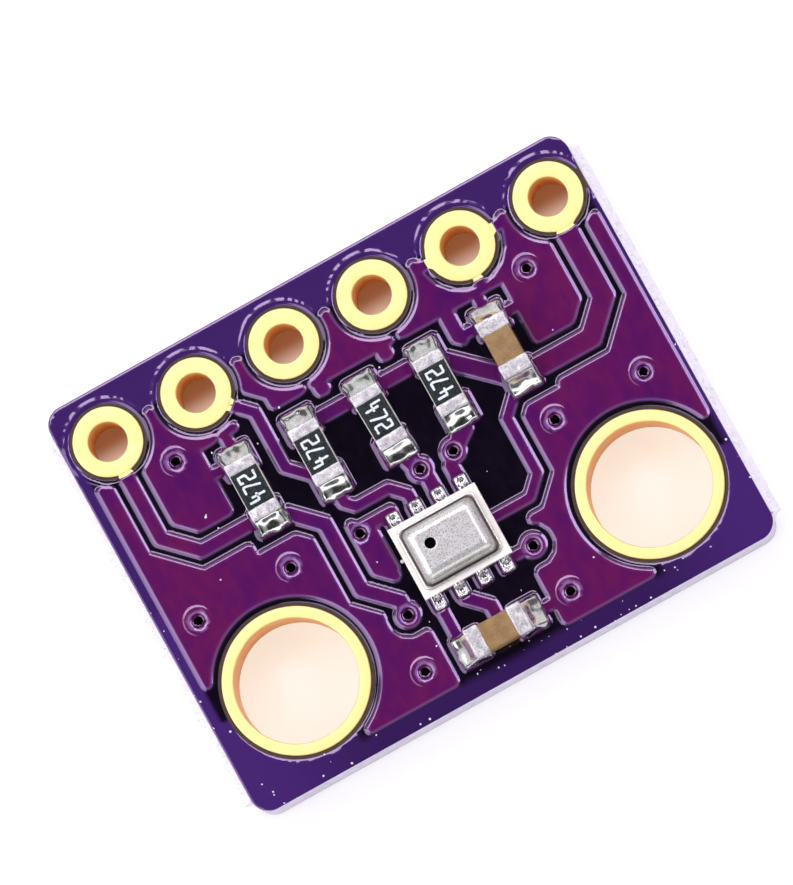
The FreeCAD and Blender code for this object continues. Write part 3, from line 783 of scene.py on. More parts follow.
SURFACES: tuple[Surface, ...] = (
    Lacquer(Finish.MASK, "450E5D", "66174F", 0.11, coarse=2.4, fine=0.25, stretch=0.5, contrast=0.6,
            rough_spread=0.02, bump=0.0005, specular=1.0, specular_tint="F0DCFF"),
    BoardStock(Finish.BARE_BOARD, "2A1B10", "4A3418", 0.55, coarse=0.25, fine=0.05, bump=0.01),
    Surface(Finish.FIBRE, "ECEBF0", "FFFFFF", 0.45, coarse=0.1, fine=0.03, bump=0.004, translucent=0.3),
    Plating(Finish.GOLD, "F9F592", "FDFBA8", 0.40, metallic=0.15, coarse=0.6, fine=0.06, contrast=0.4,
            rough_spread=0.04, bump=0.0008, specular=0.8),
    Surface(Finish.TIN, "B0B0B1", "EFF0ED", 0.36, metallic=0.42, coarse=0.14, fine=0.03, contrast=1.0,
            rough_spread=0.1, bump=0.005),
    Surface(Finish.SOLDER, "B4B4B5", "F0F0EF", 0.15, metallic=1.0, coarse=0.3, fine=0.05, contrast=0.5,
            rough_spread=0.05, bump=0.0008),
    Surface(Finish.ALUMINA, "C9C4B8", "EDEAE2", 0.6, coarse=0.1, fine=0.02, bump=0.002),
    Surface(Finish.GLAZE, "141D1C", "222E2C", 0.30, coarse=0.15, fine=0.03, bump=0.002),
    Surface(Finish.MARKING, "CFDCDF", "F4FBFC", 0.6, coarse=0.05, fine=0.02, bump=0.001),
    Surface(Finish.CERAMIC, "816439", "A28556", 0.42, coarse=0.3, fine=0.03, bump=0.002, contrast=0.7),
    Surface(Finish.SUBSTRATE, "FDF8E8", "FFFFF6", 0.38, coarse=0.15, fine=0.03, bump=0.002, contrast=0.7),
    DrawnCan(Finish.CAN, "CCCEC9", "E9EBE4", 0.34, metallic=0.6, coarse=0.22, fine=0.035, contrast=0.35,
             rough_spread=0.1, bump=0.003, specular=0.8),
    Surface(Finish.SILICON, "20222A", "33363F", 0.12, coarse=0.3, fine=0.05, bump=0.0),
    # The via walls are dark brown as painted shade inside the narrow holes.
    Surface(Finish.VIA, "1A0C08", "4A2C18", 0.2, metallic=0.8, coarse=0.1, fine=0.03, bump=0.002),
)


class Palette:
    """Every finish, made once."""

    def __init__(self) -> None:
        self.materials = {surface.finish: surface.build() for surface in SURFACES}

    def __getitem__(self, finish: Finish) -> Material:
        return self.materials[finish]


class Repeater(Wiring):
    """A Geometry Nodes tree that sets copies of a small shape on points of a mesh."""

    def __init__(self, name: str) -> None:
        super().__init__(bpy.data.node_groups.new(name, "GeometryNodeTree"))
        self.interface = self.tree.interface
        for way in ("INPUT", "OUTPUT"):
            self.interface.new_socket(name="Geometry", in_out=way, socket_type="NodeSocketGeometry")
        self.values: dict[str, object] = {}
        self.input = self.tree.nodes.new("NodeGroupInput")
        self.output = self.tree.nodes.new("NodeGroupOutput")

    def setting(self, name: str, kind: str, value: object) -> Socket:
        """Add a named input.

        Args:
            name: Its name.
            kind: Float, Int or Material.
            value: The value that it is given.

        Returns:
            The socket inside the tree.
        """
        socket = self.interface.new_socket(name=name, in_out="INPUT", socket_type=f"NodeSocket{kind}")
        self.values[socket.identifier] = value
        return self.input.outputs[name]

    def random(self, low: object, high: object, seed: Socket) -> Socket:
        """A random value for each copy, between two limits: numbers or vectors."""
        vector = isinstance(low, tuple)
        made = self.node("FunctionNodeRandomValue", {"data_type": "FLOAT_VECTOR" if vector else "FLOAT"}, Seed=seed)
        pick = 0 if vector else 2
        made.inputs[pick].default_value, made.inputs[pick + 1].default_value = low, high
        return made.outputs[0 if vector else 1]

    def spots(self, density: float, seed: Socket) -> Node:
        """Random points on the carrier's faces, so many a square millimetre."""
        number = self.setting("Density", "Float", density / MM ** 2)
        carrier = self.input.outputs["Geometry"]
        return self.node("GeometryNodeDistributePointsOnFaces", None, Mesh=carrier, Density=number, Seed=seed)

    def repeat(self, points: Socket, shape: Node, material: Material, **inputs: object) -> None:
        """Close the tree: a real copy of the shape on each point, with its finish.

        Args:
            points: The points.
            shape: The node that makes the shape.
            material: The finish.
            inputs: Turn and size of each copy.
        """
        mesh = shape.outputs["Mesh"]
        copies = self.node("GeometryNodeInstanceOnPoints", None, Points=points, Instance=mesh, **inputs)
        real = self.node("GeometryNodeRealizeInstances", None, Geometry=copies.outputs[0])
        finish = self.setting("Finish", "Material", material)
        dressed = self.node("GeometryNodeSetMaterial", None, Geometry=real.outputs[0], Material=finish)
        self.tree.links.new(dressed.outputs[0], self.output.inputs["Geometry"])

    def apply(self, name: str, points: Points, edges: list[Corners], faces: list[Corners]) -> Piece:
        """Run the tree on a mesh and keep the result as a plain mesh.

        Args:
            name: The piece's name.
            points: The carrier's points, in millimetres.
            edges: Its edges.
            faces: Its faces.

        Returns:
            The finished piece.
        """
        carrier = bpy.data.meshes.new(name + "_carrier")
        carrier.from_pydata((np.asarray(points) * MM).tolist(), edges, faces)
        piece = linked(name, carrier)
        modifier = piece.modifiers.new("repeat", "NODES")
        modifier.node_group = self.tree
        for identifier, value in self.values.items():
            modifier[identifier] = value
        graph = bpy.context.evaluated_depsgraph_get()
        graph.update()
        mesh = bpy.data.meshes.new_from_object(piece.evaluated_get(graph))
        piece.modifiers.clear()
        piece.data = mesh
        mesh.name = name
        bpy.data.meshes.remove(carrier)
        return piece


class Side(Enum):
    """The two faces of the board."""

    UPPER = 1
    UNDER = -1


@dataclass
class Lacquered:
    """The lacquered faces of the board, with the copper's relief beneath and openings for what is soldered."""

    nets: tuple[str, ...] = ("address", "select", "data", "clock", "supply", "ground")
    half_x: float = BOARD_HALF_X
    half_y: float = BOARD_HALF_Y
    bare_height: float = -0.044
    slope_inside: float = 0.06
    slope_width: float = 0.16
    slope_step: float = 0.03
    slope_levels: tuple[float, ...] = (-0.06, -0.035, -0.01, 0.015, 0.04, 0.065, 0.1)
    ring_levels: tuple[float, ...] = (0.06, 0.11, 0.215, 0.25, 0.285)
    lip: float = 0.022
    lip_drop: float = 0.014
    via_sink: float = 0.038
    via_foot: float = 0.25
    via_fall: float = 0.11
    via_rise: float = 0.016
    via_halo: float = 0.41
    halo_fall: float = 0.07
    pad_swell: float = 0.022
    swell_out: float = 0.10
    swell_width: float = 0.06
    rounding: float = 0.09
    pad_radius: float = 0.90
    pad_room: float = 1.15
    pad_opening: float = 0.985
    ring_room: float = 2.14
    ring_opening: float = 1.985
    land_growth: float = -0.03
    via_radius: float = 0.15
    via_opening: float = 0.125
    pour_middle: tuple[float, float] = (0.0925, -0.3125)
    pour_half: tuple[float, float] = (7.225, 4.98)
    field_pitch: float = 0.04
    mesh_pitch: float = 0.12
    vias: list[Points] = field(default_factory=list)

    def copper_names(self) -> list[str]:
        """The solids of the copper."""
        return [f"copper_{net}" for net in self.nets]

    def boundary(self, name: str, side: Side) -> Points:
        """The edge lines of one solid's copper on one face of the board.

        Args:
            name: The solid.
            side: Which face.

        Returns:
            Segments in millimetres, four numbers each.
        """
        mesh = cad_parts[name].data
        points = mesh_points(mesh)
        mesh.calc_loop_triangles()
        triangles = np.zeros(len(mesh.loop_triangles) * 3, int)
        mesh.loop_triangles.foreach_get("vertices", triangles)
        level = BOARD_TOP if side is Side.UPPER else 0.0
        _, inverse = np.unique(np.round(points * 2000).astype(int), axis=0, return_inverse=True)
        inverse = inverse.ravel()
        triangles = triangles.reshape(-1, 3)
        flat = (np.abs(points[triangles][:, :, 2] - level) < 1e-3).all(1)
        corners = inverse[triangles[flat]]
        place = np.zeros((inverse.max() + 1, 2))
        place[inverse] = points[:, :2]
        edges = lone_edges(corners, len(place))
        return np.hstack([place[edges[:, 0]], place[edges[:, 1]]])

    def find_vias(self, segments: Points) -> tuple[list[Points], Points]:
        """Tell the via holes from the rest of an outline.

        Args:
            segments: All edge lines.

        Returns:
            The middles of the via holes, and the other lines.
        """
        follow = {tuple(np.round(s[:2], 3)): k for k, s in enumerate(segments)}
        seen, centres, rest = set(), [], []
        for start in range(len(segments)):
            if start in seen:
                continue
            loop, k = [], start
            while k is not None and k not in seen:
                seen.add(k)
                loop.append(k)
                k = follow.get(tuple(np.round(segments[k][2:], 3)))
            corners = segments[loop][:, :2]
            extent = corners.max(0) - corners.min(0)
            if extent.max() < 2.2 * self.via_radius:
                centres.append((corners.max(0) + corners.min(0)) / 2)
            else:
                rest.extend(loop)
        return centres, segments[rest]

    def circles(self, names: list[str]) -> list[Points]:
        """Middles of the named plated holes."""
        return [node_centre(name)[:2] for name in names]

    def copper_field(self, side: Side) -> DistanceField:
        """How far each place lies from the edge of the copper, pads and rings counted.

        Args:
            side: Which face.

        Returns:
            The field, with true circles where the solids have flats.
        """
        result = DistanceField(self.half_x + 0.1, self.half_y + 0.1, self.field_pitch)
        total = np.full(result.grid_x.shape, result.reach)
        pads, rings = self.circles(PAD_NODES), self.circles(RING_NODES)
        for name in self.copper_names():
            segments = self.boundary(name, side)
            if not len(segments):
                continue
            centres, segments = self.find_vias(segments)
            if side is Side.UPPER:
                self.vias.extend(centres)
            result.outline(segments)
            if name == "copper_ground":
                for group, room in ((pads[:4] + pads[5:], self.pad_room), (rings, self.ring_room)):
                    for x, y in group:
                        hole = room - np.hypot(result.grid_x - x, result.grid_y - y)
                        result.value = np.maximum(result.value, hole)
            total = np.minimum(total, result.value)
        for x, y in pads:
            total = np.minimum(total, np.hypot(result.grid_x - x, result.grid_y - y) - self.pad_radius)
        result.value = total
        result.soften_corners(self.rounding)
        return result

    def openings(self, x: Points, y: Points, side: Side) -> Points:
        """Signed distance to the lacquered area, below zero where there is lacquer."""
        result = rounded_box_distance(x, y, self.half_x, self.half_y, BOARD_CORNER)
        for names, radius in ((PAD_NODES, self.pad_opening), (RING_NODES, self.ring_opening)):
            for cx, cy in self.circles(names):
                result = np.maximum(result, radius - np.hypot(x - cx, y - cy))
        for cx, cy in self.vias:
            result = np.maximum(result, self.via_opening - np.hypot(x - cx, y - cy))
        if side is Side.UPPER:
            for opening in self.lands():
                result = np.maximum(result, -opening.distance(x, y))
        return result

    def ring_distance(self, x: Points, y: Points) -> Points:
        """Distance beyond the opening of the nearest header pad or via."""
        result = np.full(np.shape(x), 9.0)
        for centres, radius in ((self.circles(PAD_NODES), self.pad_opening), (self.vias, self.via_opening)):
            for cx, cy in centres:
                result = np.minimum(result, np.hypot(x - cx, y - cy) - radius)
        return result

    def lands(self) -> list["Land"]:
        """The openings around the soldered lands."""
        lands = [land for chip in CHIPS for land in chip.lands(self.land_growth)]
        return lands + SENSOR.lands(self.land_growth * 0.6)

    def height_at(self, x: Points, y: Points, copper: DistanceField, side: Side) -> Points:
        """Height of the lacquer over the board's copper level.

        Args:
            x: First coordinates.
            y: Second coordinates.
            copper: The copper's distance field.
            side: Which face.

        Returns:
            The heights.
        """
        opening = self.openings(x, y, side)
        fall = smoothstep((copper.sample(x, y) + self.slope_inside) / self.slope_width)
        edge = np.clip(1 + opening / self.lip, 0, 1)
        height = self.bare_height * fall - self.lip_drop * edge * edge
        for cx, cy in self.vias:
            away = np.hypot(x - cx, y - cy)
            height = height - self.via_sink * smoothstep((self.via_foot - away) / self.via_fall)
            if copper.sample(np.array([cx]), np.array([cy]))[0] < -0.45:
                height = height + self.via_rise * smoothstep((self.via_halo - away) / self.halo_fall)
        for cx, cy in self.circles(PAD_NODES):
            away = np.hypot(x - cx, y - cy) - self.pad_opening
            height = height + self.pad_swell * np.exp(-(((away - self.swell_out) / self.swell_width) ** 2)) * fall
        return height

    def build_side(self, side: Side, material: Material) -> tuple[Piece, DistanceField]:
        """Make one lacquered face.

        Args:
            side: Which face.
            material: The lacquer.

        Returns:
            The face, and the copper's distance field.
        """
        copper = self.copper_field(side)
        far_x, far_y = self.half_x + 0.02, self.half_y + 0.02
        sheet = Sheet((-far_x, -far_y), (far_x, far_y), self.mesh_pitch)
        sheet.measure("copper", copper.sample)
        sheet.measure("opening", lambda x, y: self.openings(x, y, side))
        for level in self.slope_levels:
            sheet.split("copper", level)
        sheet.split("opening", 0.0)
        sheet.keep("opening", 0.0)
        for level in (self.lip / 2, self.lip):
            sheet.split("opening", -level)
        sheet.measure("ring", self.ring_distance)
        for level in self.ring_levels:
            sheet.split("ring", level)
        x, y = sheet.points[:, 0], sheet.points[:, 1]
        draft = Draft()
        sheet.raise_to(BOARD_TOP + self.height_at(x, y, copper, side), LAMINATE_TOP - 0.005, draft)
        normals, step = np.zeros_like(draft.points[0]), self.slope_step
        for axis, (dx, dy) in enumerate(((step, 0.0), (0.0, step))):
            rise = self.height_at(x + dx, y + dy, copper, side) - self.height_at(x - dx, y - dy, copper, side)
            normals[:len(x), axis] = -rise / (2 * step)
        normals[:len(x), 2] = 1.0
        if side is Side.UNDER:
            self.turn_under(draft)
            normals[:, 2] *= -1
        piece = draft.build(f"lacquer_{side.name.lower()}", material, crease=50.0, merge=0.0)
        self.smooth(piece.data, normals)
        self.paint(piece, copper)
        return piece, copper

    @staticmethod
    def turn_under(draft: Draft) -> None:
        """Move what was drawn on the upper face to the underside."""
        draft.points[0][:, 2] = BOARD_TOP - draft.points[0][:, 2]
        draft.faces = [face[::-1] for face in draft.faces]

    @staticmethod
    def smooth(mesh: bpy.types.Mesh, normals: Points) -> None:
        """Shade the sheet by its true slope; a zero leaves the usual shading."""
        length = np.linalg.norm(normals, axis=1, keepdims=True)
        index = np.zeros(len(mesh.loops), int)
        mesh.loops.foreach_get("vertex_index", index)
        mesh.normals_split_custom_set((normals / np.maximum(length, 1e-9))[index].tolist())

    def paint(self, piece: Piece, copper: DistanceField) -> None:
        """Write where copper lies beneath, where light comes through the board's border as a painted glow, and where
        the painted lilac sheen lies.
        """
        mesh = piece.data
        x, y = mesh_points(mesh)[:, :2].T
        over = 1 - smoothstep((copper.sample(x, y) + 0.01) / 0.05)
        border = rounded_box_distance(x - self.pour_middle[0], y - self.pour_middle[1], *self.pour_half, 0.1)
        across = np.abs(x)
        corner = smoothstep((copper.sample(x, y) - 0.10) / 0.25) * smoothstep((across - 3.4) / 0.5) * (y < -3.2)
        shade = np.where(y > 0, 0.80, 0.55 + 0.45 * smoothstep((across - 3.5) / 3.5))
        through = np.maximum(smoothstep((border + 0.02) / 0.12), corner) * shade
        lands = np.min([land.distance(x, y) for land in self.lands()], axis=0)
        # Painted highlight: a lilac band along the copper's edges, kept off the lands, and a lilac ring round each
        # via.
        painted_sheen = np.exp(-((copper.sample(x, y) / 0.035) ** 2)) * 0.24 * smoothstep((lands - 0.10) / 0.06)
        for cx, cy in self.vias:
            painted_sheen = np.maximum(painted_sheen, 0.65 * np.exp(-(((np.hypot(x - cx, y - cy) - 0.225) / 0.022) ** 2)))
        for name, values in (("copper", over), ("light_through", through), ("painted_sheen", painted_sheen)):
            layer = mesh.attributes.new(name, "FLOAT", "POINT")
            layer.data.foreach_set("value", values.astype(np.float32))

    def build_tabs(self, copper: DistanceField, side: Side, material: Material) -> Piece:
        """The bare plated copper that shows inside the lacquer's openings.

        Args:
            copper: The copper's distance field.
            side: Which face.
            material: The plating.

        Returns:
            The piece.
        """
        sheet = Sheet((-self.half_x, -self.half_y), (self.half_x, self.half_y), self.mesh_pitch)
        sheet.measure("copper", copper.sample)

        def bare(x: Points, y: Points) -> Points:
            """Below zero in the open ring around each pad and mounting ring."""
            result = np.full(np.shape(x), 1.0)
            for names, inner, outer in ((PAD_NODES, 0.87, self.pad_opening), (RING_NODES, 1.86, self.ring_opening)):
                for cx, cy in self.circles(names):
                    away = np.hypot(x - cx, y - cy)
                    result = np.minimum(result, np.maximum(inner - away, away - outer - 0.03))
            return np.maximum(result, rounded_box_distance(x, y, self.half_x - 0.05, self.half_y - 0.05, BOARD_CORNER))

        sheet.measure("bare", bare)
        for name in ("copper", "bare"):
            sheet.split(name, 0.0)
            sheet.keep(name, 0.0)
        draft = Draft()
        sheet.raise_to(np.full(len(sheet.points), BOARD_TOP - 0.02), LAMINATE_TOP + 0.002, draft, closed=True)
        if side is Side.UNDER:
            self.turn_under(draft)
        return draft.build(f"bare_copper_{side.name.lower()}", material, merge=0.0)

    def build_vias(self, material: Material) -> Piece:
        """The plated walls of the vias, dark brown as painted shade inside the narrow holes.

        Args:
            material: Their finish.

        Returns:
            The piece.
        """
        draft = Draft()
        inner, outer, ease = self.via_radius, self.via_radius + 0.025, 0.02
        lower = [(inner, ease), (inner + ease / 3, ease / 3), (inner + ease, 0.0), (outer, ease)]
        profile = lower + [(radius, BOARD_TOP - height) for radius, height in lower[::-1]]
        for centre in self.vias:
            draft.revolve(profile, centre, 24)
        return draft.build("via_walls", material)

    def build(self, palette: Palette) -> None:
        """Make both faces, the bare copper and the vias."""
        for side in Side:
            lacquer, copper = self.build_side(side, palette[Finish.MASK])
            wear(lacquer, "masked_copper", *self.copper_names())
            wear(self.build_tabs(copper, side, palette[Finish.GOLD]), "gold_plate")
        wear(self.build_vias(palette[Finish.VIA]), "masked_copper")


@dataclass
class Land:
    """A rectangular opening in the lacquer."""

    x: float
    y: float
    half_x: float
    half_y: float
    turn: float = 0.0

    def distance(self, x: Points, y: Points) -> Points:
        """Signed distance to the opening's edge, below zero inside."""
        c, s = math.cos(self.turn), math.sin(self.turn)
        u, v = (x - self.x) * c + (y - self.y) * s, -(x - self.x) * s + (y - self.y) * c
        return rounded_box_distance(u, v, self.half_x, self.half_y, 0.05)


@dataclass
class Eyelet:
    """A plated hole with soft edges."""

    node: str
    hole: float
    rim: float
    inner_ease: float
    outer_ease: float
    steps: int
    plating: float = 0.028

    def profile(self) -> list[tuple[float, float]]:
        """The outline of its section, from the foot of the wall upwards."""
        upper = self._rim_outline()
        lower = [(radius, BOARD_TOP - height) for radius, height in upper[::-1]]
        return lower + upper

    def _rim_outline(self) -> list[tuple[float, float]]:
        """Half of the section: up the wall, over the rim and back under it."""
        points = [(self.hole, BOARD_TOP / 2 + 0.1)]
        for turn in quarter_turn(6):
            radius = self.hole + self.inner_ease * (1 - math.cos(turn))
            points.append((radius, BOARD_TOP - self.inner_ease * (1 - math.sin(turn))))
        for turn in quarter_turn(4):
            radius = self.rim - self.outer_ease * (1 - math.sin(turn))
            points.append((radius, BOARD_TOP - self.outer_ease * (1 - math.cos(turn))))
        return points + [(self.rim, LAMINATE_TOP), (self.hole + self.plating, LAMINATE_TOP)]

    def build(self, material: Material) -> None:
        """Make the piece in the place of its solid."""
        draft = Draft()
        draft.revolve(self.profile(), node_centre(self.node), self.steps)
        wear(draft.build(f"{self.node}_plating", material, crease=50.0), "gold_plate", self.node)


@dataclass
class Chip:
    """A chip part with its two ends and its solder."""

    node: str
    height: float
    turn: float = 0.0
    length: float = 1.60
    width: float = 0.80
    end_length: float = 0.32
    land_length: float = 0.85
    land_width: float = 0.93
    land_offset: float = 0.825
    climb: float = 0.84
    climb_most: float = 0.50
    seed: int = 0

    @property
    def centre(self) -> Points:
        """Its middle on the board."""
        return node_centre(f"{self.node}_body")

    @property
    def place(self) -> Matrix:
        """Where its own frame goes, with Y along its length."""
        return Matrix.Translation((self.centre[0], self.centre[1], 0.0)) @ Matrix.Rotation(self.turn, 4, "Z")

    def lands(self, growth: float) -> list[Land]:
        """The openings around its two lands."""
        found = []
        for sign in (-1, 1):
            along = sign * self.land_offset
            x, y = self.centre[0] - along * math.sin(self.turn), self.centre[1] + along * math.cos(self.turn)
            found.append(Land(x, y, self.land_width / 2 + growth, self.land_length / 2 + growth, self.turn))
        return found

    def build(self, palette: Palette) -> None:
        """Make the ends, the solder and what is between them."""
        self.build_ends(palette[Finish.TIN])
        self.build_solder(palette[Finish.SOLDER])
        self.build_block(palette)

    def build_ends(self, material: Material) -> None:
        """The two tinned ends."""
        draft = Draft()
        for sign in (-1, 1):
            inner, outer = self.length / 2 - self.end_length, self.length / 2
            low = (-self.width / 2, min(sign * inner, sign * outer), CHIP_BASE)
            high = (self.width / 2, max(sign * inner, sign * outer), CHIP_BASE + self.height)
            draft.rounded_block(low, high, 0.045, (14, 6, 8), self.place, 0.011, self.seed + sign)
        wear(draft.build(f"{self.node}_ends", material, crease=60.0), "tinned_end", f"{self.node}_terminals")

    def build_solder(self, material: Material) -> None:
        """The solder under, beside and beyond the two ends."""
        draft = Draft()
        for sign in (-1, 1):
            self.solder_end(draft, sign)
        wear(draft.build(f"{self.node}_joints", material, crease=70.0, merge=0.0), "solder", f"{self.node}_solder")

    def solder_end(self, draft: Draft, sign: int) -> None:
        """One end's solder, as a hollow slope that swells towards its corners.

        Args:
            draft: Where it is drawn.
            sign: Which end.
        """
        half_x, half_y = self.land_width / 2, self.land_length / 2
        reach = self.land_offset + half_y - self.length / 2
        sheet = Sheet((-half_x - 0.02, -half_y - 0.02), (half_x + 0.02, half_y + 0.02), 0.026)

        def outline(x: Points, y: Points) -> Points:
            """Signed distance to the solder's uneven edge."""
            uneven = ripple(x, y, 0.2, self.seed * 3 + sign + 9)
            return rounded_box_distance(x, y, half_x, half_y, 0.12) + 0.022 * uneven

        sheet.measure("edge", outline)
        sheet.split("edge", 0.0)
        sheet.keep("edge", 0.0)
        for level in (-0.012, -0.03, -0.06):
            sheet.split("edge", level)
        x, y, edge = sheet.points[:, 0], sheet.points[:, 1] + self.land_offset, sheet.values["edge"]
        out_end = np.clip((y - self.length / 2) / reach, 0, 1)
        top = min(self.height * self.climb, self.climb_most)
        slope = 0.13 + (top - 0.13) * (1 - out_end) ** 1.7
        slope = slope * (0.35 + 0.65 * smoothstep((y - self.length / 2 + self.end_length) / 0.18))
        lobes = np.exp(-(((np.abs(x) - 0.33) / 0.12) ** 2))
        hollow = np.exp(-((x / 0.17) ** 2)) * smoothstep((out_end - 0.05) / 0.3)
        round_over = np.sqrt(1 - (1 - np.clip(-edge / 0.13, 0, 1)) ** 2)
        height = slope * (1 + 0.28 * lobes * out_end - 0.08 * hollow) * round_over
        height = height + 0.012 * ripple(x, y, 0.22, self.seed * 7 + sign + 3) * round_over
        start = len(draft.points)
        sheet.raise_to(BOARD_TOP - 0.02 + np.maximum(height, 0.002), BOARD_TOP - 0.03, draft, closed=True)
        points = draft.points[start]
        points[:, 1] += self.land_offset
        if sign < 0:
            points[:, :2] *= -1
        draft.points[start] = placed(points, self.place)

    def build_block(self, palette: Palette) -> None:
        """The part between the ends."""
        raise NotImplementedError


@dataclass
class Resistor(Chip):
    """A chip resistor: white brick, dark glaze and a plain number."""

    number: str = "472"
    reads_down: bool = False

    def build_block(self, palette: Palette) -> None:
        """The brick, its glaze and its number."""
        brick = Draft()
        low = (-self.width / 2 + 0.008, -self.length / 2 + 0.06, CHIP_BASE + 0.03)
        high = (self.width / 2 - 0.008, self.length / 2 - 0.06, CHIP_BASE + self.height - 0.035)
        brick.rounded_block(low, high, 0.02, (12, 20, 6), self.place, 0.004, self.seed + 20)
        wear(brick.build(f"{self.node}_brick", palette[Finish.ALUMINA]), "alumina", f"{self.node}_body")
        coat = Draft()
        top = CHIP_BASE + self.height - 0.006
        low = (-self.width / 2 + 0.03, -self.length / 2 + self.end_length - 0.01, top - 0.035)
        high = (self.width / 2 - 0.03, self.length / 2 - self.end_length + 0.01, top)
        coat.rounded_block(low, high, 0.014, (20, 30, 1), self.place, 0.004, self.seed + 30)
        wear(coat.build(f"{self.node}_coat", palette[Finish.GLAZE]), "dark_glaze", f"{self.node}_glaze")
        self.build_number(palette[Finish.MARKING], top)

    def build_number(self, material: Material, top: float) -> None:
        """The number, as rows of small printed dots.

        Args:
            material: The paint.
            top: Height of the glaze.
        """
        tree = Repeater(f"{self.node}_dots")
        dot = tree.setting("Dot Radius", "Float", 0.034 * MM)
        step = tree.setting("Dot Step", "Float", 0.044 * MM)
        thick = tree.setting("Paint Thickness", "Float", 0.006 * MM)
        seed = tree.setting("Seed", "Int", self.seed)
        curve = tree.node("GeometryNodeMeshToCurve", None, Mesh=tree.input.outputs["Geometry"])
        spaced = tree.node("GeometryNodeResampleCurve", {"mode": "LENGTH"}, Curve=curve.outputs[0], Length=step)
        disc = tree.node("GeometryNodeMeshCylinder", None, Vertices=8, Radius=dot, Depth=thick)
        tree.repeat(spaced.outputs[0], disc, material, Scale=tree.random(0.85, 1.15, seed))
        points, edges = self.strokes()
        turn = Matrix.Rotation(math.pi / 2 * (-1 if self.reads_down else 1), 4, "Z")
        spots = placed(np.column_stack([points, np.full(len(points), top + 0.002)]), self.place @ turn)
        piece = tree.apply(f"{self.node}_number", spots, edges, [])
        wear(piece, "dark_glaze")

    def strokes(self) -> tuple[Points, list[tuple[int, int]]]:
        """The number's strokes about its middle, reading along X.

        Returns:
            The corners of the strokes, and the strokes between them.
        """
        shapes = {
            "4": [[(0, 1), (0, 0.45), (1, 0.45)], [(0.72, 0.75), (0.72, 0)]],
            "7": [[(0, 1), (1, 1), (1, 0.8), (0.45, 0)]],
            "2": [[(0, 0.88), (0, 1), (1, 1), (1, 0.55), (0, 0.42), (0, 0), (1, 0)]],
        }
        wide, tall, pitch = 0.165, 0.43, 0.275
        corners: list[tuple[float, float]] = []
        edges: list[tuple[int, int]] = []
        for k, digit in enumerate(self.number):
            left = (k - (len(self.number) - 1) / 2) * pitch - wide / 2
            for line in shapes[digit]:
                first = len(corners)
                corners.extend((left + x * wide, (y - 0.5) * tall) for x, y in line)
                edges.extend((first + i, first + i + 1) for i in range(len(line) - 1))
        return np.array(corners), edges


@dataclass
class Capacitor(Chip):
    """A chip capacitor: a tan block that stands out level with its ends."""

    def build_block(self, palette: Palette) -> None:
        """The ceramic block."""
        draft = Draft()
        low = (-self.width / 2 + 0.03, -self.length / 2 + 0.06, CHIP_BASE + 0.03)
        high = (self.width / 2 - 0.03, self.length / 2 - 0.06, CHIP_BASE + self.height - 0.03)
        draft.rounded_block(low, high, 0.05, (14, 22, 10), self.place, 0.006, self.seed + 40)
        wear(draft.build(f"{self.node}_block", palette[Finish.CERAMIC]), "tan_ceramic", f"{self.node}_body")


CHIPS: list[Chip] = [
    Resistor("resistor_1", 0.42, seed=11),
    Resistor("resistor_2", 0.42, seed=12),
    Resistor("resistor_3", 0.42, turn=math.radians(2.0), seed=13, reads_down=True),
    Resistor("resistor_4", 0.42, seed=14),
    Capacitor("capacitor_1", 0.80, end_length=0.39, seed=15),
    Capacitor("capacitor_2", 0.80, turn=math.pi / 2, end_length=0.39, seed=16),
]


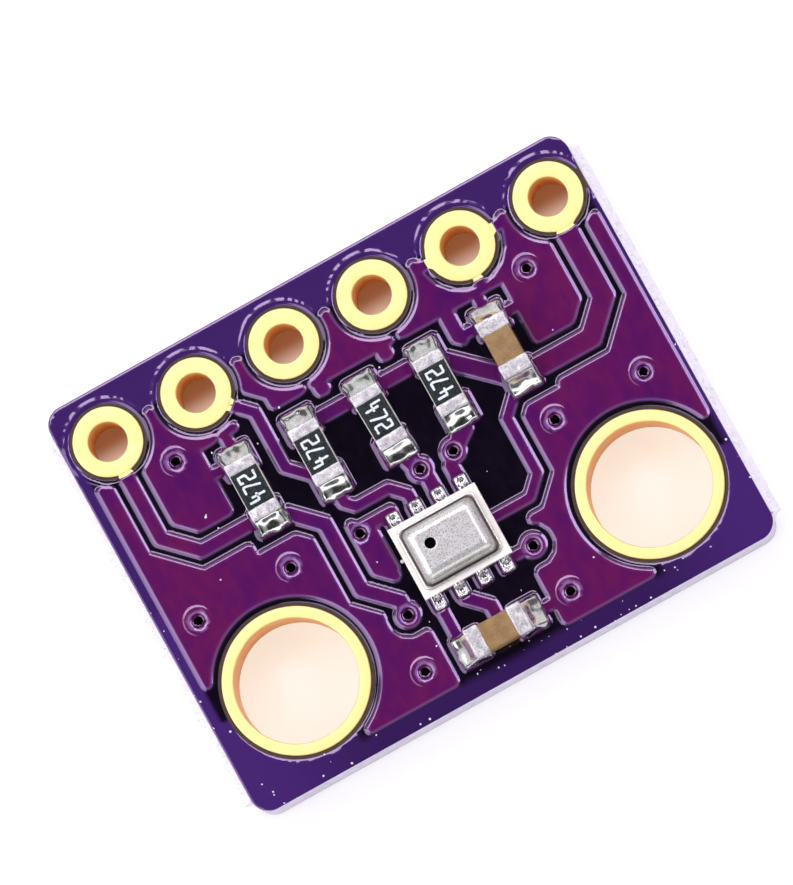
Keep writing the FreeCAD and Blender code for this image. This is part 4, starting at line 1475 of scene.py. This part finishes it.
@dataclass
class PressureSensor:
    """The sensor: cream substrate, drawn metal can with a vent, and eight small joints."""

    pitch: float = 0.65
    land_width: float = 0.38
    land_length: float = 0.70
    land_offset: float = 1.05
    half_width: float = 1.00
    vent: tuple[float, float] = (-0.43, 0.13)
    vent_radius: float = 0.145
    corner_steps: int = 12
    side_steps: int = 8
    nudge: float = 0.03

    @property
    def centre(self) -> Points:
        """The sensor's middle on the board."""
        return node_centre("sensor_lid")

    def contacts(self) -> list[tuple[float, int]]:
        """Place along the row and side of each contact."""
        return [((i - 1.5) * self.pitch, sign) for i in range(4) for sign in (-1, 1)]

    def lands(self, growth: float) -> list[Land]:
        """The openings around the eight lands."""
        cx, cy = self.centre[0] - self.nudge, self.centre[1]
        half_x, half_y = self.land_width / 2 + growth, self.land_length / 2 + growth
        return [Land(cx + x, cy + sign * self.land_offset, half_x, half_y) for x, sign in self.contacts()]

    def ring(self, half_x: float, half_y: float, radius: float, height: float) -> Points:
        """A rounded rectangle about the sensor's middle.

        Args:
            half_x: Half its length.
            half_y: Half its width.
            radius: Corner radius.
            height: Its height.

        Returns:
            Its points, the same number for every size.
        """
        points: list[tuple[float, float]] = []
        corners = ((1, 1, 0.0), (-1, 1, 90.0), (-1, -1, 180.0), (1, -1, 270.0))
        for k, (sx, sy, start) in enumerate(corners):
            cx, cy = sx * (half_x - radius), sy * (half_y - radius)
            arc = [math.radians(start + 90 * i / self.corner_steps) for i in range(self.corner_steps + 1)]
            points.extend((cx + radius * math.cos(a), cy + radius * math.sin(a)) for a in arc)
            nx, ny, turn = corners[(k + 1) % 4]
            end = (nx * (half_x - radius) + radius * math.cos(math.radians(turn)),
                   ny * (half_y - radius) + radius * math.sin(math.radians(turn)))
            x, y = points[-1]
            share = np.arange(1, self.side_steps) / self.side_steps
            points.extend((x + (end[0] - x) * s, y + (end[1] - y) * s) for s in share)
        flat = np.array(points) + self.centre[:2]
        return np.column_stack([flat, np.full(len(flat), height)])

    def vent_ring(self, like: Points, radius: float, height: float) -> Points:
        """A circle about the vent with a point towards each point of another ring."""
        middle = self.centre[:2] + np.array(self.vent)
        away = like[:, :2] - middle
        away = away / np.linalg.norm(away, axis=1, keepdims=True)
        return np.column_stack([middle + radius * away, np.full(len(like), height)])

    def build_can(self, material: Material) -> None:
        """The can, from its flange over the shoulder and the vent to its inside."""
        outer = [(1.10, 0.865, 0.17, 1.912), (1.10, 0.865, 0.17, 1.955), (1.094, 0.859, 0.165, 1.972),
                 (1.08, 0.845, 0.155, 1.98), (1.062, 0.827, 0.15, 1.981), (1.045, 0.81, 0.16, 1.958),
                 (1.02, 0.785, 0.17, 1.935), (0.998, 0.763, 0.18, 1.945), (0.985, 0.75, 0.19, 2.04),
                 (0.972, 0.737, 0.19, 2.20), (0.958, 0.723, 0.19, 2.29)]
        base_x, base_y, foot, top, sweep = 0.955, 0.72, 2.30, 2.53, 0.27
        for turn in quarter_turn(8, first=1):
            inset, rise = sweep * (1 - math.cos(turn)), (top - foot) * math.sin(turn)
            outer.append((base_x - inset, base_y - inset, 0.19 - inset * 0.4, foot + rise))
        rings = [self.ring(*section) for section in outer]
        rings.append(self.ring(0.67, 0.435, 0.08, top - 0.001))
        flat = rings[-1]
        edge = self.vent_ring(flat, self.vent_radius + 0.02, top - 0.001)
        for share in (0.25, 0.5, 0.75, 0.9):
            rings.append(flat + (edge - flat) * share)
        for radius, height in ((0.02, -0.001), (0.008, -0.004), (0.0, -0.014), (0.0, -0.05), (0.006, -0.066)):
            rings.append(self.vent_ring(flat, self.vent_radius + radius, top + height))
        rings.append(self.vent_ring(flat, self.vent_radius + 0.03, top - 0.07))
        inside = ((0.80, 0.565, 0.1, top - 0.07), (0.885, 0.65, 0.13, foot - 0.05), (0.93, 0.70, 0.13, DECK + 0.002))
        rings.extend(self.ring(*section) for section in inside)
        draft = Draft()
        draft.loft(rings, closed=True)
        wear(draft.build("sensor_can", material, crease=40.0), "nickel_can", "sensor_lid")

    def build_joints(self, material: Material) -> None:
        """The eight joints, each a bead with a dimple."""
        draft = Draft()
        for k, (x, sign) in enumerate(self.contacts()):
            self.joint(draft, x, sign, k)
        wear(draft.build("sensor_joints", material, crease=70.0, merge=0.0), "solder", "sensor_solder")

    def joint(self, draft: Draft, along: float, sign: int, seed: int) -> None:
        """One joint beyond the edge of the substrate.

        Args:
            draft: Where it is drawn.
            along: Its place along the row.
            sign: Which side of the sensor.
            seed: Picks its unevenness.
        """
        half_x, start, end = self.land_width / 2, self.half_width - 0.12, self.land_offset + self.land_length / 2
        half_y, middle = (end - start) / 2, (end + start) / 2
        sheet = Sheet((-half_x, -half_y), (half_x, half_y), 0.016)
        sheet.measure("edge", lambda x, y: rounded_box_distance(x, y, half_x, half_y, 0.07))
        sheet.split("edge", 0.0)
        sheet.keep("edge", 0.0)
        sheet.split("edge", -0.025)
        x, y, edge = sheet.points[:, 0], sheet.points[:, 1] + middle, sheet.values["edge"]
        out = np.clip((y - self.half_width) / (end - self.half_width), 0, 1)
        bead = np.sqrt(1 - (1 - np.clip(-edge / 0.09, 0, 1)) ** 2)
        dimple = np.exp(-((x / 0.08) ** 2 + ((out - 0.48) / 0.26) ** 2))
        pinch = np.exp(-((x / 0.05) ** 2)) * 0.5
        height = bead * (0.20 - 0.07 * out - 0.13 * dimple - 0.04 * pinch + 0.004 * ripple(x, y, 0.08, seed + 70))
        begin = len(draft.points)
        sheet.raise_to(BOARD_TOP - 0.02 + height, BOARD_TOP - 0.03, draft, closed=True)
        points = draft.points[begin]
        points[:, 1] += middle
        points[:, 0] += along
        if sign < 0:
            points[:, :2] *= -1
        points[:, :2] += self.centre[:2]

    def build(self, palette: Palette) -> None:
        """Make the sensor's pieces and dress the solids that stay."""
        self.build_can(palette[Finish.CAN])
        self.build_joints(palette[Finish.SOLDER])
        for node, finish in (("sensor_substrate", Finish.SUBSTRATE), ("sensor_contacts", Finish.GOLD),
                             ("sensor_circuit_die", Finish.SILICON), ("sensor_pressure_die", Finish.SILICON)):
            dress(node, palette[finish])


SENSOR = PressureSensor()


def dress(node: str, material: Material) -> None:
    """Give a solid that stays its finish."""
    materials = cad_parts[node].data.materials
    materials.clear()
    materials.append(material)


@dataclass
class TornEdges:
    """The snapped sides of the board: frayed glass and nibs at the webs, and flecks on the lacquer's edges."""

    half_x: float = BOARD_HALF_X
    start: float = -5.25
    end: float = 5.25

    def fibres(self, material: Material) -> None:
        """Short slivers of glass that stand out from both webs."""
        tree = Repeater("torn_fibres")
        radius = tree.setting("Fibre Radius", "Float", 0.016 * MM)
        length = tree.setting("Fibre Length", "Float", 0.10 * MM)
        seed = tree.setting("Seed", "Int", 7)
        spots = tree.spots(42.0, seed)
        sliver = tree.node("GeometryNodeMeshCone", None, Vertices=5, Radius_Bottom=radius, Radius_Top=0.004 * MM,
                           Depth=length)
        tilt = tree.random((-0.7, -0.7, 0.0), (0.7, 0.7, 6.28), seed)
        facing = spots.outputs["Rotation"]
        turned = tree.node("FunctionNodeRotateEuler", {"space": "LOCAL"}, Rotation=facing, Rotate_By=tilt)
        scale = tree.random((0.6, 0.6, 0.3), (1.8, 1.8, 1.25), seed)
        tree.repeat(spots.outputs["Points"], sliver, material, Rotation=turned.outputs[0], Scale=scale)
        points, faces = [], []
        for sign in (-1, 1):
            first = len(points)
            for out, height in ((0.02, 1.50), (0.13, 1.05), (0.20, 0.92), (0.20, 0.68), (0.13, 0.55), (0.02, 0.10)):
                points += [(sign * (self.half_x + out), y, height) for y in (self.start, self.end)]
            for k in range(5):
                quad = (first + 2 * k, first + 2 * k + 1, first + 2 * k + 3, first + 2 * k + 2)
                faces.append(quad if sign < 0 else quad[::-1])
        piece = tree.apply("torn_fibres", np.array(points), [], faces)
        wear(piece, "glass_fibre_board")

    def flecks(self, material: Material) -> None:
        """Tiny pale chips along the edges of the lacquer."""
        tree = Repeater("edge_flecks")
        size = tree.setting("Fleck Size", "Float", 0.028 * MM)
        seed = tree.setting("Seed", "Int", 3)
        spots = tree.spots(4.0, seed)
        chip = tree.node("GeometryNodeMeshIcoSphere", None, Radius=size, Subdivisions=1)
        scale = tree.random((0.3, 0.3, 0.15), (1.2, 1.2, 0.45), seed)
        turn = tree.random((0.0, 0.0, 0.0), (0.4, 0.4, 6.28), seed)
        tree.repeat(spots.outputs["Points"], chip, material, Rotation=turn, Scale=scale)
        height, front = BOARD_TOP - 0.04, -BOARD_HALF_Y
        strips = [(-self.half_x, self.start, -self.half_x + 0.13, self.end, height),
                  (7.4, self.start, self.half_x, self.end, height),
                  (-6.9, front, 6.9, front + 0.09, height), (-7.2, -5.5, 7.2, -5.0, height + 0.002)]
        points, faces = [], []
        for x0, y0, x1, y1, level in strips:
            first = len(points)
            points += [(x0, y0, level), (x1, y0, level), (x1, y1, level), (x0, y1, level)]
            faces.append((first, first + 1, first + 2, first + 3))
        piece = tree.apply("edge_flecks", np.array(points), [], faces)
        wear(piece, "glass_fibre_board")

    def nibs(self, material: Material) -> None:
        """The two torn points where the webs end at the front corners."""
        draft = Draft()
        for sign, y in ((-1, -5.36), (1, -5.44)):
            rings = []
            for share in (0.0, 0.35, 0.7, 1.0):
                x, half = sign * (7.38 + 0.34 * share), 0.13 * (1 - share) + 0.006
                turns = np.arange(5) * 2 * math.pi / 5
                lift = y + 0.16 * share + 0.02 * math.sin(9 * share)
                ring = [np.full(5, x), lift + half * np.cos(turns), 1.3 + 1.6 * half * np.sin(turns)]
                rings.append(np.column_stack(ring))
            draft.loft(rings if sign > 0 else rings[::-1], caps=True)
        wear(draft.build("torn_nibs", material, crease=20.0), "glass_fibre_board")

    def build(self, palette: Palette) -> None:
        """Make the fibres, the flecks and the nibs, and dress the board."""
        dress("laminate", palette[Finish.BARE_BOARD])
        self.fibres(palette[Finish.FIBRE])
        self.flecks(palette[Finish.FIBRE])
        self.nibs(palette[Finish.FIBRE])


@dataclass
class Dust:
    """Pale specks that lie on the lacquer."""

    specks: tuple[tuple[float, float, float], ...] = (
        (-1.23, -1.87, 0.05), (-7.08, -3.52, 0.03), (-7.38, -2.49, 0.028), (7.37, -3.15, 0.03), (-1.50, -4.16, 0.026),
        (3.03, -4.13, 0.026), (-5.56, -5.64, 0.026), (-4.78, -5.71, 0.03), (-2.80, -5.69, 0.024), (-2.53, -5.69, 0.03),
        (1.79, -5.72, 0.026), (2.22, -5.69, 0.03), (3.80, -5.72, 0.026), (3.37, -5.72, 0.022), (-5.28, -5.18, 0.024),
        (-5.03, 1.53, 0.034), (-5.00, 1.57, 0.024), (-5.46, -0.04, 0.024), (-4.11, 2.88, 0.026), (-4.88, 1.13, 0.024),
        (-2.99, 2.52, 0.022), (-1.66, 2.76, 0.03), (-2.08, 3.06, 0.03), (1.73, -0.92, 0.012), (-1.79, -1.58, 0.02),
        (-1.36, -3.54, 0.016), (1.04, -3.97, 0.016), (-2.48, 2.35, 0.02), (0.62, 2.71, 0.024), (4.9, 1.4, 0.02))
    top: float = BOARD_TOP + 0.004

    def build(self, palette: Palette) -> None:
        """Make every speck as a small flat dot."""
        draft = Draft()
        for x, y, radius in self.specks:
            profile = [(0.002, self.top - 0.05), (radius, self.top - 0.05), (radius, self.top - 0.004),
                       (0.7 * radius, self.top), (0.002, self.top)]
            draft.revolve(profile, np.array([x, y]), 7)
        wear(draft.build("lacquer_dust", palette[Finish.FIBRE]), "glass_fibre_board")


@dataclass
class Studio:
    """The floor, the lamps and the camera."""

    focal_pixels: float = 12000.0
    frame_height: float = 885.0
    turn: tuple[float, float, float] = (2.9300386, -0.7573404, -0.0961294)
    shift: tuple[float, float, float] = (0.0897808, 0.2031308, 301.8245736)
    pattern_origin: tuple[float, float, float] = (0.0675, 0.6075, 1.60)

    def camera(self) -> None:
        """The camera at the photograph's viewing angle."""
        angle = Vector(self.turn)
        rotation = Matrix.Rotation(angle.length, 3, angle.normalized())
        place = -(rotation.transposed() @ Vector(self.shift)) + Vector(self.pattern_origin)
        axes = Matrix((rotation[0], -rotation[1], -rotation[2])).transposed()
        data = bpy.data.cameras.new("camera")
        data.sensor_width = 36.0
        data.lens = self.focal_pixels * data.sensor_width / self.frame_height
        data.clip_start, data.clip_end = 0.01, 10.0
        camera = linked("camera", data)
        camera.matrix_world = Matrix.Translation(place * MM) @ axes.to_4x4()
        bpy.context.scene.camera = camera

    def lamp(self, name: str, azimuth: float, elevation: float, distance: float, size: tuple[float, float],
             power: float, tone: str = "FFFFFF") -> None:
        """A soft rectangular lamp that faces the part.

        Args:
            name: Its name.
            azimuth: Direction in the board's plane, in degrees from +X.
            elevation: Height over the board's plane, in degrees.
            distance: Metres from the part.
            size: Width and height in metres.
            power: Watts.
            tone: Its colour.
        """
        data = bpy.data.lights.new(name, "AREA")
        data.shape, data.size, data.size_y, data.energy = "RECTANGLE", size[0], size[1], power
        data.color = colour(tone)[:3]
        a, e = math.radians(azimuth), math.radians(elevation)
        place = Vector((math.cos(a) * math.cos(e), math.sin(a) * math.cos(e), math.sin(e))) * distance
        facing = place.to_track_quat("Z", "Y").to_matrix().to_4x4()
        linked(name, data).matrix_world = Matrix.Translation(place) @ facing

    def floor(self) -> None:
        """A pale floor under the board, with painted light and shade."""
        mesh = bpy.data.meshes.new("floor")
        half, level = 0.6, -2e-5
        corners = [(x * half, y * half, level) for x, y in ((-1, -1), (1, -1), (1, 1), (-1, 1))]
        mesh.from_pydata(corners, [], [(0, 1, 2, 3)])
        material = bpy.data.materials.new("pale_floor")
        material.use_nodes = True
        bsdf = material.node_tree.nodes["Principled BSDF"]
        bsdf.inputs["Base Color"].default_value = colour("F6F4FA")
        bsdf.inputs["Roughness"].default_value = 0.9
        bsdf.inputs["Specular IOR Level"].default_value = 0.1
        self.paint_floor_light_and_shade(Wiring(material.node_tree), bsdf)
        mesh.materials.append(material)
        floor = linked("floor", mesh)

    def paint_floor_light_and_shade(self, shade: Wiring, bsdf: Node) -> None:
        """Show the floor white to the camera, with a painted warm reflection of the gold inside the plated holes and
        painted shade under the board.

        Args:
            shade: The floor's shader tree.
            bsdf: Its lit surface.
        """
        x, y = shade.along("X"), shade.along("Y")
        header, rings = self.near_holes(shade, x, y, PAD_NODES, 0.7), self.near_holes(shade, x, y, RING_NODES, 1.75)
        # Painted shade: the floor under the board, away from the holes, is shown black.
        inside = shade.math("MULTIPLY", shade.math("LESS_THAN", shade.math("ABSOLUTE", x), 7.3),
                            shade.math("LESS_THAN", shade.math("ABSOLUTE", y), 5.6))
        # Painted reflection and shade: peach under the mounting rings, and a brown to tan fade under the header pads,
        # stand in for light off the gold plating and the shade inside the holes.
        tone = shade.mix(rings, shade.mix(inside, "FFFFFF", "000000"), "FFF0DC")
        tone = shade.mix(header, tone, shade.mix(shade.ramp(y, 4.65, 3.95), "8A4E30", "E8C4B0"))
        share = shade.mix(inside, (0.6, 0.6, 0.6, 1.0), (0.97, 0.97, 0.97, 1.0))
        share = shade.mix(shade.math("MAXIMUM", rings, header), share, (0.65, 0.65, 0.65, 1.0))
        glow = shade.node("ShaderNodeEmission", None, Color=tone, Strength=1.15)
        seen = shade.node("ShaderNodeLightPath").outputs["Is Camera Ray"]
        mixed = shade.node("ShaderNodeMixShader")
        for index, socket in enumerate((shade.math("MULTIPLY", seen, share), bsdf.outputs[0], glow.outputs[0])):
            shade.feed(mixed.inputs[index], socket)
        shade.feed(shade.tree.nodes["Material Output"].inputs["Surface"], mixed.outputs[0])

    @staticmethod
    def near_holes(shade: Wiring, x: Socket, y: Socket, nodes: list[str], radius: float) -> Socket:
        """Whether a place lies under one of the plated holes."""
        found: Socket | None = None
        for node in nodes:
            cx, cy = node_centre(node)[:2]
            away = shade.node("ShaderNodeVectorMath", {"operation": "LENGTH"})
            offset = shade.node("ShaderNodeCombineXYZ", None, X=shade.math("SUBTRACT", x, float(cx)),
                                Y=shade.math("SUBTRACT", y, float(cy)))
            shade.feed(away.inputs[0], offset.outputs[0])
            under = shade.math("LESS_THAN", away.outputs["Value"], radius)
            found = under if found is None else shade.math("MAXIMUM", found, under)
        return found

    def world(self) -> None:
        """A room with five pale panels round its walls, dark overhead."""
        world = bpy.data.worlds.new("room")
        bpy.context.scene.world = world
        world.use_nodes = True
        shade = Wiring(world.node_tree)
        background = world.node_tree.nodes["Background"]
        background.inputs["Color"].default_value = colour("FFFFFF")
        place = shade.node("ShaderNodeTexCoord").outputs["Generated"]
        direction = shade.node("ShaderNodeSeparateXYZ", None, Vector=place)
        turn = shade.math("ARCTAN2", direction.outputs["Y"], direction.outputs["X"])
        panels = shade.ramp(shade.math("SINE", shade.math("MULTIPLY", turn, 5.0)), -0.3, 0.3, 0.12, 0.85)
        low = shade.ramp(direction.outputs["Z"], 0.45, 0.85, 1.0, 0.0)
        shade.feed(background.inputs["Strength"], shade.math("ADD", shade.math("MULTIPLY", panels, low), 0.03))

    def build(self) -> None:
        """Set everything up."""
        self.camera()
        self.floor()
        self.world()
        self.lamp("left_softbox", 180.0, 48.0, 0.30, (0.24, 0.20), 0.50, "F4ECFF")
        self.lamp("back_strip", 90.0, 62.0, 0.30, (0.28, 0.07), 0.42, "FFF4FF")
        self.lamp("right_strip", 0.0, 52.0, 0.30, (0.24, 0.045), 0.30, "F0E6FF")
        self.lamp("front_low", 270.0, 28.0, 0.32, (0.30, 0.10), 0.16)
        bpy.context.scene.view_settings.view_transform = "Standard"


def main() -> None:
    """Build everything in order."""
    logging.basicConfig(level=logging.INFO, format="%(name)s: %(message)s")
    palette = Palette()
    Studio().build()
    Lacquered().build(palette)
    for node in PAD_NODES:
        Eyelet(node, 0.50, 0.90, 0.05, 0.03, 96).build(palette[Finish.GOLD])
    for node in RING_NODES:
        Eyelet(node, 1.59, 1.89, 0.05, 0.04, 192).build(palette[Finish.GOLD])
    for chip in CHIPS:
        chip.build(palette)
    SENSOR.build(palette)
    TornEdges().build(palette)
    Dust().build(palette)


if __name__ == "__main__":
    main()
